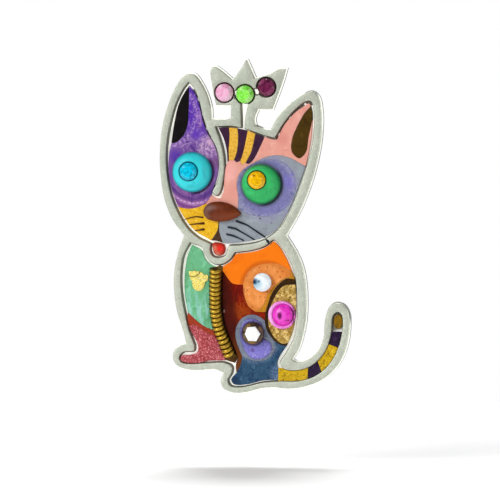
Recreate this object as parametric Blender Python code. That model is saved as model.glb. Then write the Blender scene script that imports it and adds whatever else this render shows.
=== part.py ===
"""Cat-shaped enamel pin: a metal backplate, an outline frame soldered on it, poured enamel fields,
glued stones, domes and a coil spine, with a safety-catch bar pin on the back.

The front faces -Y, +X is to the right and +Z is up.  Lengths are in millimetres until the vertices
are written, which are in metres.
"""

import math

import bmesh
import bpy
from mathutils import Vector
from mathutils.geometry import delaunay_2d_cdt

MM = 0.001

# Layers, measured forward from the plate's back face, so y = -depth.
PLATE_THICKNESS = 0.8
SOLDER_GAP = 0.02
FRAME_THICKNESS = 1.0
ENAMEL_THICKNESS = 0.68
FRAME_STEP = 0.15
ENAMEL_JOINT = 0.04

FLOOR = PLATE_THICKNESS + SOLDER_GAP
FRAME_TOP = FLOOR + FRAME_THICKNESS
ENAMEL_TOP = FLOOR + ENAMEL_THICKNESS
TRIM_BASE = ENAMEL_TOP + SOLDER_GAP
WHISKER_HEIGHT = 0.2
LEAF_HEIGHT = 0.14
BUBBLE_HEIGHT = 0.3
NOSE_HEIGHT = 1.3
TONGUE_HEIGHT = 1.25

# Stones.
CROWN_SEAT_RADIUS = 1.66
CROWN_STONE_RADIUS = 1.48
CROWN_STONES = {
    "pink_stone": (-4.9, 21.65),
    "green_stone": (-1.5, 21.4),
    "amethyst_stone": (2.0, 22.6),
}
EYE_SEAT_RADIUS = 1.6
EYE_STONE_RADIUS = 1.48
EYE_SEAT_DEPTH = 0.55
EYE_SEAT_TAPER = 0.06
EYE_SHOULDER = 0.35
EYE_HEIGHT = 1.55
TURQUOISE_EYE = {"centre": (-10.24, 8.73), "radius": 3.3, "seat": (-10.6, 8.9)}
GREEN_EYE = {"centre": (1.13, 6.89), "radius": 3.25, "seat": (0.68, 7.58)}
CLEAR_STONE = {"centre": (1.42, -9.02), "radius": 1.56}
MAGENTA = {"centre": (4.62, -14.3), "radius": 2.2, "stone_radius": 1.72}
CUP = {"centre": (-0.12, -17.35), "radius": 1.82, "stone_radius": 1.34}
FACETS = 12
GIRDLE = 0.12
BEZEL_GAP = 0.04
BEZEL_HEIGHT = 0.7
BEZEL_LIP = 0.18

# Coil spine: wire turns that lean forward, laid along this line on a thin dark bed.  Each turn lies
# nearly level in front and drops behind; COIL_LEVEL says how much of the drop is kept for the back.
# WIRE_CROSS lies across the wire everywhere, so its six sides never twist.
SPINE = [(-6.3, -6.7), (-6.38, -10.5), (-6.36, -13.2), (-5.95, -16.0), (-5.0, -18.6), (-3.9, -21.2),
         (-3.55, -22.3)]
SPINE_CHANNEL = 1.07
SPINE_BED = 0.12
SPINE_BED_HEAD = [Vector((-5.25, -6.57)), Vector((-5.8, -6.42)), Vector((-6.4, -6.63))]
SPINE_BED_FOOT = [Vector((-4.3, -21.98)), Vector((-3.3, -22.25))]
MINT_TOP, MINT_END = -6.8, -16.9
BAND_END = -18.1
PAW_END = -21.83
BED_END = -21.75
BURGUNDY_TOP, BURGUNDY_END = -7.3, -21.3
COIL_TOP = -7.4
COIL_BOTTOM = -20.95
COIL_TURNS = 18
COIL_STEPS = 10
COIL_RADIUS = 0.69
COIL_WIRE = 0.31
COIL_WIRE_SIDES = 6
COIL_LEAN = math.radians(24)
COIL_LEVEL = 1.3
COIL_REACH = 0.4
WIRE_CROSS = Vector((0.24, 0.1, -0.96))

# Bar pin on the back: hinge at the left, catch at the right, both on the axis height.
BAR_X = (-12.3, 7.3)
BAR_Z = 7.5
BAR_WIDTH = 4.0
BAR_CORNER = 1.2
BAR_SEAT_DEPTH = 0.06
BAR_SEAT_MARGIN = 0.1
BAR_THICKNESS = 0.65
BAR_BACK = SOLDER_GAP - BAR_SEAT_DEPTH
AXIS_Y = 2.9
HINGE_X = -10.5
EAR_RADIUS = 1.1
EAR_HALF_SPAN = 1.0
EAR_THICKNESS = 0.5
RIVET_RADIUS = 0.45
RIVET_HEAD_RADIUS = 0.75
RIVET_HEAD = 0.25
RIVET_HEAD_EDGE = 0.1
RIVET_CROWN = 0.6
BARREL_RADIUS = 0.95
BARREL_BORE = 0.5
BARREL_HALF_WIDTH = 0.94
STEM_RADIUS = 0.36
STEM_END_X = 7.6
STEM_ROOT = 0.7
STEM_TAPER = 2.2
STEM_POINT = 0.8
CATCH_X = 5.2
TUBE_RADIUS = 1.05
TUBE_BORE = 0.7
TUBE_SLOT = 0.52
FLANGE_RADIUS = 1.55
FLANGE_BORE = 0.74
FLANGE_SLOT = 0.56
FLANGE_THICKNESS = 0.6
FLANGE_INNER_X = 0.55
FOOT_HALF_WIDTH = 0.95
ROTOR_RADIUS = 1.5
ROTOR_BORE = 1.12
ROTOR_SLOT = 0.55
ROTOR_HALF_WIDTH = 0.48
TAB_ANGLE = math.radians(70)
TAB_REACH = 2.7
TAB_HALF_WIDTH = 0.28

# Outer outline of the plate, in runs that meet at sharp corners, clockwise from the left head top.
PLATE_OUTLINE = [
    [(-4.0, 17.45), (-7.0, 17.45)],
    [(-7.0, 17.45), (-7.05, 18.9), (-7.5, 20.8), (-8.4, 22.8), (-9.7, 24.6), (-10.7, 24.9), (-11.8, 24.4),
     (-13.0, 22.8), (-14.3, 19.8), (-15.3, 16.2), (-15.75, 11.6), (-15.55, 7.6), (-14.9, 4.0), (-13.6, 0.9),
     (-11.75, -1.6)],
    [(-11.75, -1.6), (-12.6, -3.9), (-13.3, -7.0), (-13.4, -10.5), (-12.85, -14.2), (-11.8, -17.3),
     (-11.4, -19.05)],
    [(-11.4, -19.05), (-12.4, -19.4), (-13.35, -20.2), (-13.6, -21.4), (-13.1, -22.6), (-11.7, -23.35),
     (-9.4, -23.6), (-6.5, -23.4), (-5.22, -23.9)],
    [(-5.22, -23.9), (-5.68, -25.2), (-5.2, -26.4), (-3.6, -27.15), (-1.5, -27.1), (1.2, -26.4), (3.2, -26.2),
     (5.6, -26.4), (8.5, -26.0), (11.2, -24.9), (13.4, -23.0), (15.0, -20.2), (15.7, -16.8), (15.6, -13.9),
     (14.7, -12.5), (13.3, -12.15), (12.2, -13.0), (11.5, -15.2), (11.3, -17.8), (10.5, -19.8), (9.0, -21.2),
     (7.1, -21.8), (6.35, -21.45)],
    [(6.35, -21.45), (7.3, -20.0), (8.1, -17.5), (8.6, -14.5), (8.6, -10.0), (8.1, -6.8), (7.1, -4.3),
     (5.3, -1.45)],
    [(5.3, -1.45), (7.3, 2.0), (9.1, 6.2), (10.4, 10.6), (11.1, 14.8), (11.15, 18.8), (10.6, 21.2),
     (9.4, 22.1), (7.8, 21.5), (5.2, 19.5), (3.5, 17.5), (2.65, 15.82)],
    [(2.65, 15.82), (1.4, 15.98), (0.3, 16.4)],
    [(0.3, 16.4), (0.1, 17.4), (0.65, 18.88)],
    [(0.65, 18.88), (3.0, 18.85)],
    [(3.0, 18.85), (4.6, 23.0), (5.4, 25.7)],
    [(5.4, 25.7), (4.3, 25.8), (2.6, 24.95), (0.15, 24.15)],
    [(0.15, 24.15), (-0.6, 25.8), (-1.35, 27.15), (-2.1, 26.0), (-3.6, 23.88)],
    [(-3.6, 23.88), (-5.3, 25.3), (-6.7, 26.05), (-7.32, 25.2), (-7.1, 23.0), (-6.4, 19.45)],
    [(-6.4, 19.45), (-3.97, 19.45)],
    [(-3.97, 19.45), (-4.0, 17.45)],
]

# Window of the frame around the face and both ears; the strip beside the forehead is left standing.
HEAD_WINDOW = [
    [(-10.85, 23.4), (-11.8, 22.15), (-12.9, 20.0), (-13.8, 17.0), (-14.4, 14.0), (-14.6, 11.2), (-14.4, 8.0),
     (-13.8, 5.0), (-12.6, 2.1), (-11.0, -0.4), (-9.2, -1.95), (-7.2, -2.9)],
    [(-7.2, -2.9), (-7.32, -3.9), (-6.9, -4.85), (-5.9, -5.15), (-4.75, -4.8), (-4.4, -3.8), (-4.1, -3.18)],
    [(-4.1, -3.18), (-1.5, -2.97), (1.0, -2.45), (2.9, -1.4), (4.4, 0.0), (5.6, 2.0), (6.6, 4.1), (7.5, 6.4),
     (8.7, 9.9), (9.65, 13.8), (9.92, 17.4), (9.45, 20.3), (8.6, 20.4), (6.7, 19.05), (4.8, 16.8),
     (3.35, 14.4)],
    [(3.35, 14.4), (1.5, 14.85), (-1.0, 15.72), (-3.6, 16.28), (-6.5, 16.15)],
    [(-6.5, 16.15), (-5.6, 13.8), (-5.0, 11.0), (-5.05, 8.4), (-5.8, 5.3), (-6.3, 5.0), (-6.85, 5.5),
     (-6.0, 7.3), (-5.62, 10.0), (-6.1, 12.4), (-7.6, 15.4), (-8.5, 18.0), (-9.1, 20.5), (-10.1, 22.6),
     (-10.85, 23.4)],
]

# Window of the frame around the body, the paw and the tail.
BODY_WINDOW = [
    [(-10.6, -2.65), (-11.7, -4.7), (-12.15, -7.4), (-12.1, -10.6), (-11.45, -14.4), (-10.82, -17.0),
     (-9.9, -19.3)],
    [(-9.9, -19.3), (-10.0, -20.25), (-11.7, -20.5), (-12.42, -21.3), (-12.1, -22.15), (-10.6, -22.47),
     (-7.6, -22.25), (-4.9, -22.2), (-3.75, -22.75), (-3.75, -23.8), (-4.4, -25.0), (-3.9, -25.95),
     (-2.0, -26.12), (1.4, -25.35), (4.4, -25.1), (7.6, -25.0), (10.2, -24.1), (12.5, -22.1), (14.0, -19.2),
     (14.6, -16.0), (14.4, -14.1), (13.7, -13.72), (12.95, -14.3), (12.6, -17.4), (11.7, -20.0), (9.8, -22.2),
     (7.4, -23.2), (5.0, -23.08), (4.27, -22.2), (5.2, -20.6), (6.5, -18.2), (7.02, -15.4), (7.1, -11.4),
     (6.7, -7.7), (5.5, -4.8), (4.0, -2.7), (3.2, -2.1), (1.8, -3.1), (-0.4, -3.84), (-3.2, -4.2)],
    [(-3.2, -4.2), (-4.2, -5.5), (-5.7, -6.25), (-7.2, -5.8), (-8.15, -4.4), (-8.7, -3.4), (-10.6, -2.65)],
]

# Slots of the crown: one bar of light between each pair of stones, one long slot down to the face.
CROWN_SLOTS = [
    [[(-3.3, 20.7), (-2.9, 20.7)], [(-2.9, 20.7), (-2.9, 22.1)], [(-2.9, 22.1), (-3.3, 22.1)],
     [(-3.3, 22.1), (-3.3, 20.7)]],
    [[(0.0, 21.25), (0.75, 21.25)], [(0.75, 21.25), (0.6, 22.4)], [(0.6, 22.4), (-0.15, 22.4)],
     [(-0.15, 22.4), (0.0, 21.25)]],
    [[(-2.3, 20.1), (-0.9, 20.1)], [(-0.9, 20.1), (-1.4, 17.9), (-1.6, 15.4)], [(-1.6, 15.4), (-2.15, 15.4)],
     [(-2.15, 15.4), (-2.2, 17.8), (-2.3, 20.1)]],
]

# Lines shared by neighbouring enamel fields.  Margins stop short of the frame, so the bright plate
# shows as a thin line beside it.
EDGES = {
    "left_ear_margin": [(-10.75, 22.75), (-11.4, 21.9), (-12.5, 19.8), (-13.2, 17.0), (-13.75, 13.4)],
    "left_ear_inside": [(-13.75, 13.4), (-12.95, 13.5), (-11.6, 14.85), (-11.0, 16.6), (-10.85, 19.0),
                        (-10.75, 22.75)],
    "violet_margin": [(-13.75, 13.4), (-14.15, 11.4), (-14.15, 8.4), (-13.6, 5.6), (-12.62, 3.05)],
    "violet_divider": [(-10.75, 22.75), (-9.9, 21.6), (-9.15, 19.8), (-8.5, 17.0), (-7.6, 14.8),
                       (-6.45, 12.8), (-5.95, 10.4), (-6.15, 8.1), (-7.15, 4.95)],
    "violet_pink": [(-7.15, 4.95), (-7.5, 4.3), (-8.0, 3.65)],
    "violet_muzzle": [(-8.0, 3.65), (-9.4, 3.0), (-11.0, 2.78), (-12.62, 3.05)],
    "muzzle_margin": [(-12.62, 3.05), (-11.4, 1.0), (-9.8, -0.85), (-7.15, -2.35)],
    "muzzle_pink": [(-8.0, 3.65), (-6.0, 1.7)],
    "mouth_left": [(-6.0, 1.7), (-6.05, -0.5), (-7.15, -2.35)],
    "mouth_top": [(-6.0, 1.7), (-5.75, 1.7)],
    "mouth_right": [(-5.75, 1.7), (-5.8, -0.8), (-5.2, -2.75)],
    "mouth_bottom": [(-7.15, -2.35), (-6.2, -2.42), (-5.2, -2.75)],
    "cheek_pink": [(-5.75, 1.7), (-2.75, 2.9)],
    "cheek_margin": [(-5.2, -2.75), (-4.4, -2.85), (-1.5, -2.52), (1.0, -2.0), (2.7, -1.2), (4.05, 0.0),
                     (5.3, 2.0), (6.3, 4.0), (7.2, 6.3), (8.45, 9.8)],
    "lilac_right": [(-2.75, 2.9), (-0.8, 1.95), (1.8, 1.62), (4.4, 2.4), (6.3, 4.5), (6.88, 7.0), (6.0, 9.4),
                    (3.9, 10.75), (1.9, 10.8), (0.1, 10.4)],
    "lilac_left": [(0.1, 10.4), (-1.3, 9.65), (-2.6, 8.2), (-2.9, 6.6), (-2.68, 4.8), (-2.75, 2.9)],
    "pink_grey": [(0.1, 10.4), (1.7, 11.2), (3.7, 11.57), (5.8, 11.2), (8.45, 9.8)],
    "brow_pink": [(1.7, 14.55), (2.9, 14.15), (3.75, 14.1)],
    "right_ear_margin": [(3.75, 14.1), (4.8, 16.3), (6.6, 18.4), (9.0, 20.1)],
    "right_ear_tip": [(9.0, 20.1), (9.32, 19.6)],
    "olive_left": [(9.32, 19.6), (8.3, 18.5), (7.2, 16.6), (6.2, 14.2), (6.2, 12.1), (7.4, 11.1), (8.5, 12.1),
                   (8.95, 14.6), (9.6, 17.4)],
    "olive_margin": [(9.32, 19.6), (9.55, 18.6), (9.6, 17.4)],
    "pink_margin": [(9.6, 17.4), (9.4, 14.8), (8.95, 12.0), (8.45, 9.8)],
    "pink_divider": [(-4.45, 10.35), (-4.82, 9.3), (-5.0, 7.2), (-5.15, 5.5), (-5.75, 4.5), (-7.15, 4.95)],
    "brow_1": [(-5.95, 15.98), (-4.2, 16.0)],
    "brow_2": [(-4.2, 16.0), (-2.8, 15.88)],
    "brow_3": [(-2.8, 15.88), (-1.1, 15.52)],
    "brow_4": [(-1.1, 15.52), (0.15, 15.05)],
    "brow_5": [(0.15, 15.05), (1.7, 14.55)],
    "stripe_0": [(-5.95, 15.98), (-5.05, 14.1), (-4.55, 12.0), (-4.45, 10.35)],
    "stripe_1": [(-4.2, 16.0), (-4.1, 14.8), (-4.25, 12.6), (-4.2, 10.65)],
    "stripe_2": [(-2.8, 15.88), (-2.68, 14.6), (-2.85, 12.3), (-3.35, 10.75)],
    "stripe_3": [(-1.1, 15.52), (-1.4, 14.0), (-1.85, 12.0), (-2.3, 10.65)],
    "stripe_4": [(0.15, 15.05), (-0.1, 13.7), (-0.65, 11.8), (-1.45, 10.3)],
    "stripe_5": [(1.7, 14.55), (0.95, 12.9), (0.1, 11.2), (-0.5, 10.4)],
    "end_1": [(-4.45, 10.35), (-4.2, 10.65)],
    "end_2": [(-4.2, 10.65), (-3.35, 10.75)],
    "end_3": [(-3.35, 10.75), (-2.9, 10.38), (-2.3, 10.65)],
    "end_4": [(-2.3, 10.65), (-2.1, 10.05), (-1.45, 10.3)],
    "end_5": [(-1.45, 10.3), (-1.0, 10.12), (-0.5, 10.4)],
    "mint_top": [(-10.35, -3.1), (-9.3, -3.6), (-8.65, -4.1), (-8.2, -5.3), (-7.3, -6.2), (-6.4, -6.6)],
    "mint_margin": [(-11.0, -14.05), (-11.5, -11.3), (-11.55, -8.0), (-11.1, -5.0), (-10.35, -3.1)],
    "band_margin": [(-11.0, -14.05), (-11.1, -15.0), (-10.85, -16.3)],
    "orange_margin": [(-5.2, -6.5), (-3.9, -5.7), (-3.0, -4.5), (-1.8, -4.35), (0.4, -3.97), (2.3, -3.1),
                      (3.1, -2.45), (3.9, -3.0), (5.3, -5.2), (6.12, -7.1)],
    "orange_peach": [(-1.9, -9.5), (-1.5, -8.1), (-0.3, -6.75), (1.7, -6.02), (4.0, -6.05), (6.12, -7.1)],
    "peach_burgundy": [(-1.9, -9.5), (-1.7, -11.2), (-1.0, -12.95), (0.15, -13.88)],
    "peach_amber": [(0.15, -13.88), (1.5, -12.75), (2.2, -11.0), (3.3, -9.6), (4.7, -8.45), (5.9, -7.95),
                    (6.12, -7.1)],
    "amber_margin": [(6.12, -7.1), (6.72, -8.55)],
    "amber_burgundy": [(1.85, -13.9), (0.15, -13.88)],
    "crescent_amber": [(6.72, -8.55), (5.3, -8.42), (3.9, -9.4), (2.8, -11.0), (1.85, -13.9)],
    "crescent_burgundy": [(1.85, -13.9), (1.7, -15.3)],
    "crescent_rim": [(1.7, -15.3), (2.05, -16.9), (3.2, -18.5)],
    "crescent_blue": [(3.2, -18.5), (4.1, -19.1), (5.3, -19.35)],
    "crescent_tip": [(5.3, -19.35), (5.55, -18.85)],
    "crescent_mica": [(5.55, -18.85), (4.6, -18.98), (3.4, -18.15), (2.35, -16.1), (2.4, -13.9), (3.6, -11.0),
                      (4.9, -9.58), (6.8, -9.35)],
    "crescent_margin": [(6.8, -9.35), (6.72, -8.55)],
    "mica_margin": [(6.8, -9.35), (6.87, -12.0), (6.8, -14.4), (6.3, -17.0), (5.55, -18.85)],
    "rim_burgundy": [(1.7, -15.3), (0.8, -14.6), (-0.6, -14.33), (-2.0, -14.9), (-3.0, -16.4), (-3.1, -18.2),
                     (-2.0, -21.2)],
    "rim_blue": [(3.2, -18.5), (3.4, -19.9), (2.4, -21.3), (0.6, -21.87), (-0.9, -21.6), (-2.0, -21.2)],
    "blue_burgundy": [(-2.0, -21.2), (-2.3, -22.6), (-2.98, -23.8)],
    "blue_margin": [(-2.98, -23.8), (-3.85, -24.9), (-3.4, -25.68), (-1.4, -25.7), (1.6, -25.0),
                    (3.9, -24.88)],
    "blue_tail": [(3.9, -24.88), (3.95, -23.3)],
    "blue_inlet": [(3.95, -23.3), (3.75, -22.1), (4.3, -20.8), (5.3, -19.35)],
}

# Blocks of the tail: corners of each, larger than the channel, which trims them.
TAIL_BLOCKS = [
    ("tail_gold_root", "gold_enamel", [(3.97, -23.0), (8.85, -22.4), (8.72, -25.6), (3.9, -25.6)]),
    ("tail_plum_root", "plum_enamel", [(8.89, -22.4), (10.2, -21.3), (11.3, -24.1), (8.76, -25.6)]),
    ("tail_gold_middle", "gold_enamel", [(10.25, -21.3), (11.6, -18.75), (14.6, -19.85), (11.35, -24.1)]),
    ("tail_plum_middle", "plum_enamel", [(11.62, -18.7), (12.2, -16.95), (14.9, -16.95), (14.62, -19.8)]),
]
TAIL_MARGIN = 0.08

# The piece that stands alone at the tail's end, and the glued pieces with their own closed outlines.
CLOSED_OUTLINES = {
    "tail_tip": [(13.25, -14.5), (13.85, -14.15), (14.4, -14.7), (14.42, -15.9), (13.9, -16.5),
                 (13.25, -16.15)],
    "nose_drop": [(-2.2, 2.05), (-2.9, 2.95), (-4.2, 3.7), (-5.9, 4.0), (-7.6, 3.6), (-8.38, 2.45),
                  (-7.9, 1.3), (-6.6, 0.8), (-5.0, 0.76), (-3.3, 1.2)],
    "tongue_drop": [(-6.9, -2.75), (-6.95, -3.6), (-6.6, -4.55), (-5.9, -4.88), (-5.1, -4.55), (-4.82, -3.75),
                    (-5.05, -2.98), (-6.1, -2.66)],
    "violet_bubble": [(1.6, -18.1), (2.7, -18.9), (2.7, -20.4), (1.3, -21.45), (-0.4, -21.4), (-1.5, -20.2),
                      (-2.3, -18.4), (-2.3, -16.7), (-1.8, -15.4), (-0.8, -14.95), (0.9, -15.4),
                      (1.5, -16.6)],
}

# Torn edge of the scrap of gold leaf, with straight sides.
LEAF_OUTLINE = [
    (-10.8, -7.35), (-10.2, -7.4), (-9.95, -7.2), (-9.4, -7.4), (-8.95, -7.35), (-8.5, -7.7), (-8.2, -7.95),
    (-7.75, -7.9), (-7.6, -8.2), (-7.6, -8.85), (-7.9, -8.95), (-8.15, -9.2), (-8.2, -9.7), (-8.4, -10.1),
    (-8.8, -10.5), (-9.3, -10.6), (-9.8, -10.4), (-10.05, -10.1), (-10.2, -9.7), (-10.3, -9.0),
    (-10.5, -8.75), (-10.65, -8.4), (-10.75, -7.9),
]

# Whiskers: points along each one, with its half width there.
WHISKERS = {
    "whisker_left_1": [(-11.55, 1.02, 0.05), (-9.8, 1.48, 0.1), (-8.5, 1.38, 0.13)],
    "whisker_left_2": [(-10.75, 0.18, 0.05), (-9.5, 0.34, 0.11), (-8.35, 0.42, 0.2)],
    "whisker_left_3": [(-9.85, -0.76, 0.05), (-9.1, -0.68, 0.12), (-8.35, -0.56, 0.2)],
    "whisker_right_1": [(-2.95, 0.84, 0.2), (-1.2, 0.2, 0.14), (0.5, -0.9, 0.14), (1.75, -1.72, 0.14)],
    "whisker_right_2": [(-4.3, -0.18, 0.18), (-3.2, -0.38, 0.17), (-1.7, -1.15, 0.13), (0.0, -2.15, 0.12)],
    "whisker_right_3": [(-4.55, -1.32, 0.17), (-3.4, -1.58, 0.16), (-2.5, -1.95, 0.12), (-1.75, -2.3, 0.1)],
}

# Finishes: base colour, metallic, roughness, transmission.
FINISHES = {
    "satin_steel": ((0.62, 0.64, 0.58), 1.0, 0.38, 0.0),
    "polished_steel": ((0.82, 0.83, 0.8), 1.0, 0.16, 0.0),
    "aged_brass": ((0.62, 0.45, 0.12), 1.0, 0.3, 0.0),
    "gold_leaf": ((0.95, 0.76, 0.3), 1.0, 0.35, 0.0),
    "dark_gold": ((0.3, 0.22, 0.06), 1.0, 0.3, 0.0),
    "black_enamel": ((0.008, 0.008, 0.004), 0.0, 0.15, 0.0),
    "violet_enamel": ((0.22, 0.07, 0.45), 0.0, 0.2, 0.0),
    "pale_violet_enamel": ((0.24, 0.17, 0.6), 0.0, 0.2, 0.0),
    "turquoise_enamel": ((0.05, 0.75, 0.75), 0.0, 0.15, 0.0),
    "plum_enamel": ((0.045, 0.012, 0.08), 0.0, 0.18, 0.0),
    "gold_enamel": ((0.85, 0.5, 0.04), 0.0, 0.2, 0.0),
    "pink_enamel": ((0.93, 0.4, 0.33), 0.0, 0.2, 0.0),
    "olive_enamel": ((0.06, 0.035, 0.004), 0.0, 0.18, 0.0),
    "lilac_enamel": ((0.2, 0.19, 0.48), 0.0, 0.2, 0.0),
    "grey_enamel": ((0.32, 0.37, 0.42), 0.0, 0.2, 0.0),
    "green_enamel": ((0.03, 0.55, 0.2), 0.0, 0.15, 0.0),
    "brown_enamel": ((0.2, 0.045, 0.008), 0.0, 0.12, 0.0),
    "red_enamel": ((0.62, 0.02, 0.01), 0.0, 0.15, 0.0),
    "red_glitter": ((0.55, 0.06, 0.09), 0.0, 0.3, 0.0),
    "mint_enamel": ((0.16, 0.6, 0.36), 0.0, 0.2, 0.0),
    "burgundy_enamel": ((0.12, 0.006, 0.002), 0.0, 0.18, 0.0),
    "bed_enamel": ((0.03, 0.014, 0.004), 0.0, 0.3, 0.0),
    "orange_enamel": ((0.95, 0.21, 0.006), 0.0, 0.2, 0.0),
    "peach_enamel": ((0.95, 0.32, 0.1), 0.0, 0.25, 0.0),
    "amber_enamel": ((0.5, 0.24, 0.006), 0.0, 0.2, 0.0),
    "mica_enamel": ((0.5, 0.34, 0.05), 0.2, 0.3, 0.0),
    "blue_enamel": ((0.03, 0.12, 0.24), 0.0, 0.2, 0.0),
    "rim_enamel": ((0.2, 0.26, 0.32), 0.0, 0.2, 0.0),
    "tip_enamel": ((0.4, 0.17, 0.005), 0.0, 0.2, 0.0),
    "pink_bezel": ((0.95, 0.35, 0.8), 0.0, 0.2, 0.0),
    "pink_glass": ((1.0, 0.45, 0.65), 0.0, 0.03, 0.6),
    "green_glass": ((0.3, 0.9, 0.1), 0.0, 0.03, 0.6),
    "amethyst_glass": ((0.2, 0.02, 0.15), 0.0, 0.03, 0.6),
    "aqua_glass": ((0.0, 0.65, 0.9), 0.0, 0.03, 0.6),
    "yellow_glass": ((1.0, 0.6, 0.0), 0.0, 0.03, 0.6),
    "clear_glass": ((0.95, 0.98, 1.0), 0.0, 0.03, 0.9),
    "magenta_glass": ((0.85, 0.03, 0.6), 0.0, 0.05, 0.5),
}

# Enamel fields: the edges around each one in order, a minus sign for an edge run backwards.
FIELDS = [
    ("black_ear", "black_enamel", ["left_ear_margin", "left_ear_inside"]),
    ("violet_field", "violet_enamel",
     ["violet_divider", "violet_pink", "violet_muzzle", "-violet_margin", "left_ear_inside"]),
    ("yellow_muzzle", "gold_enamel", ["muzzle_pink", "mouth_left", "-muzzle_margin", "-violet_muzzle"]),
    ("mouth_line", "burgundy_enamel", ["mouth_top", "mouth_right", "-mouth_bottom", "-mouth_left"]),
    ("grey_cheek", "grey_enamel",
     ["cheek_pink", "lilac_right", "pink_grey", "-cheek_margin", "-mouth_right"]),
    ("lilac_ring", "lilac_enamel", ["lilac_right", "lilac_left"]),
    ("pink_face", "pink_enamel",
     ["brow_pink", "right_ear_margin", "right_ear_tip", "olive_left", "pink_margin", "-pink_grey",
      "lilac_left", "-cheek_pink", "-mouth_top", "-muzzle_pink", "-violet_pink", "-pink_divider",
      "end_1", "end_2", "end_3", "end_4", "end_5", "-stripe_5"]),
    ("olive_ear", "olive_enamel", ["olive_left", "-olive_margin"]),
    ("plum_stripe_left", "plum_enamel", ["brow_1", "stripe_1", "-end_1", "-stripe_0"]),
    ("gold_stripe_left", "gold_enamel", ["brow_2", "stripe_2", "-end_2", "-stripe_1"]),
    ("plum_stripe_middle", "plum_enamel", ["brow_3", "stripe_3", "-end_3", "-stripe_2"]),
    ("gold_stripe_right", "gold_enamel", ["brow_4", "stripe_4", "-end_4", "-stripe_3"]),
    ("plum_stripe_right", "plum_enamel", ["brow_5", "stripe_5", "-end_5", "-stripe_4"]),
    ("mint_flank", "mint_enamel", ["mint_top", "mint_spine", "mint_band", "mint_margin"]),
    ("red_band", "red_enamel", ["-mint_band", "band_spine", "-band_paw", "-band_margin"]),
    ("red_paw", "red_glitter", ["band_paw", "paw_spine", "paw_margin"]),
    ("orange_shoulder", "orange_enamel",
     ["orange_margin", "-orange_peach", "-orange_burgundy", "-orange_spine"]),
    ("burgundy_flank", "burgundy_enamel",
     ["orange_burgundy", "peach_burgundy", "-amber_burgundy", "crescent_burgundy", "rim_burgundy",
      "blue_burgundy", "burgundy_foot", "burgundy_spine"]),
    ("peach_disc", "peach_enamel", ["orange_peach", "-peach_amber", "-peach_burgundy"]),
    ("amber_border", "amber_enamel", ["peach_amber", "amber_margin", "crescent_amber", "amber_burgundy"]),
    ("black_crescent", "black_enamel",
     ["crescent_amber", "crescent_burgundy", "crescent_rim", "crescent_blue", "crescent_tip",
      "crescent_mica", "crescent_margin"]),
    ("gold_mica", "mica_enamel", ["crescent_mica", "mica_margin"]),
    ("bubble_rim", "rim_enamel", ["rim_burgundy", "-rim_blue", "-crescent_rim"]),
    ("blue_haunch", "blue_enamel",
     ["blue_burgundy", "blue_margin", "blue_tail", "blue_inlet", "-crescent_blue", "rim_blue"]),
]

SPLINE_STEPS = 8
CURVE_TOLERANCE = 0.015
MITRE_LIMIT = 3
CIRCLE_STEPS = 28
SAME_POINT = 1e-4


def clear_scene():
    for item in list(bpy.data.objects):
        bpy.data.objects.remove(item, do_unlink=True)


def curve_point(before, start, stop, after, share):
    """A point between start and stop on the centripetal curve through four points."""
    first = (start - before).length ** 0.5
    second = first + (stop - start).length ** 0.5
    third = second + (after - stop).length ** 0.5
    at = first + (second - first) * share
    low = before.lerp(start, at / first)
    middle = start.lerp(stop, (at - first) / (second - first))
    high = stop.lerp(after, (at - second) / (third - second))
    low = low.lerp(middle, at / second)
    high = middle.lerp(high, (at - first) / (third - first))
    return low.lerp(high, (at - first) / (second - first))


def thinned(line):
    """The line without the points that lie within the tolerance of a straight run."""
    if len(line) < 3:
        return line
    start, stop = line[0], line[-1]
    along = stop - start
    if along.length < SAME_POINT:
        offsets = [(point - start).length for point in line[1:-1]]
    else:
        offsets = [abs(along.cross(point - start)) / along.length for point in line[1:-1]]
    farthest = max(offsets)
    if farthest < CURVE_TOLERANCE:
        return [start, stop]
    split = offsets.index(farthest) + 1
    return thinned(line[:split + 1])[:-1] + thinned(line[split:])


def smooth(anchors):
    """A smooth line through the anchors; a straight one through two."""
    points = [Vector(anchor) for anchor in anchors]
    if len(points) == 2:
        return points
    if (points[0] - points[-1]).length < SAME_POINT:
        ends = [points[-2], *points, points[1]]
    else:
        ends = [2 * points[0] - points[1], *points, 2 * points[-1] - points[-2]]
    line = [points[0]]
    for before, start, stop, after in zip(ends, ends[1:], ends[2:], ends[3:]):
        for step in range(1, SPLINE_STEPS + 1):
            line.append(curve_point(before, start, stop, after, step / SPLINE_STEPS))
    return thinned(line)


def joined(lines):
    """One closed loop from lines that meet end to end."""
    loop = []
    for line in lines:
        for point in line:
            if not loop or (point - loop[-1]).length > SAME_POINT:
                loop.append(point)
    if (loop[0] - loop[-1]).length < SAME_POINT:
        loop.pop()
    return loop


def outline(runs):
    return joined([smooth(run) for run in runs])


def closed(anchors):
    return joined([smooth([*anchors, anchors[0]])])


def circle(centre, radius, steps=CIRCLE_STEPS):
    middle = Vector(centre)
    turns = [2 * math.pi * step / steps for step in range(steps)]
    return [middle + Vector((math.cos(turn), math.sin(turn))) * radius for turn in turns]


def signed_area(loop):
    return sum(a.cross(b) for a, b in zip(loop, loop[1:] + loop[:1])) / 2


def inset(loop, distance):
    """The loop moved inwards; a sharp tip moves by at most the mitre limit times the distance."""
    inward = math.copysign(1, signed_area(loop))
    moved = []
    for before, point, after in zip(loop[-1:] + loop[:-1], loop, loop[1:] + loop[:1]):
        arriving = (point - before).normalized()
        leaving = (after - point).normalized()
        normal = Vector((-arriving.y - leaving.y, arriving.x + leaving.x)).normalized() * inward
        spread = max(abs(normal.cross(arriving)), 1 / MITRE_LIMIT)
        moved.append(point + normal * distance / spread)
    return moved


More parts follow.
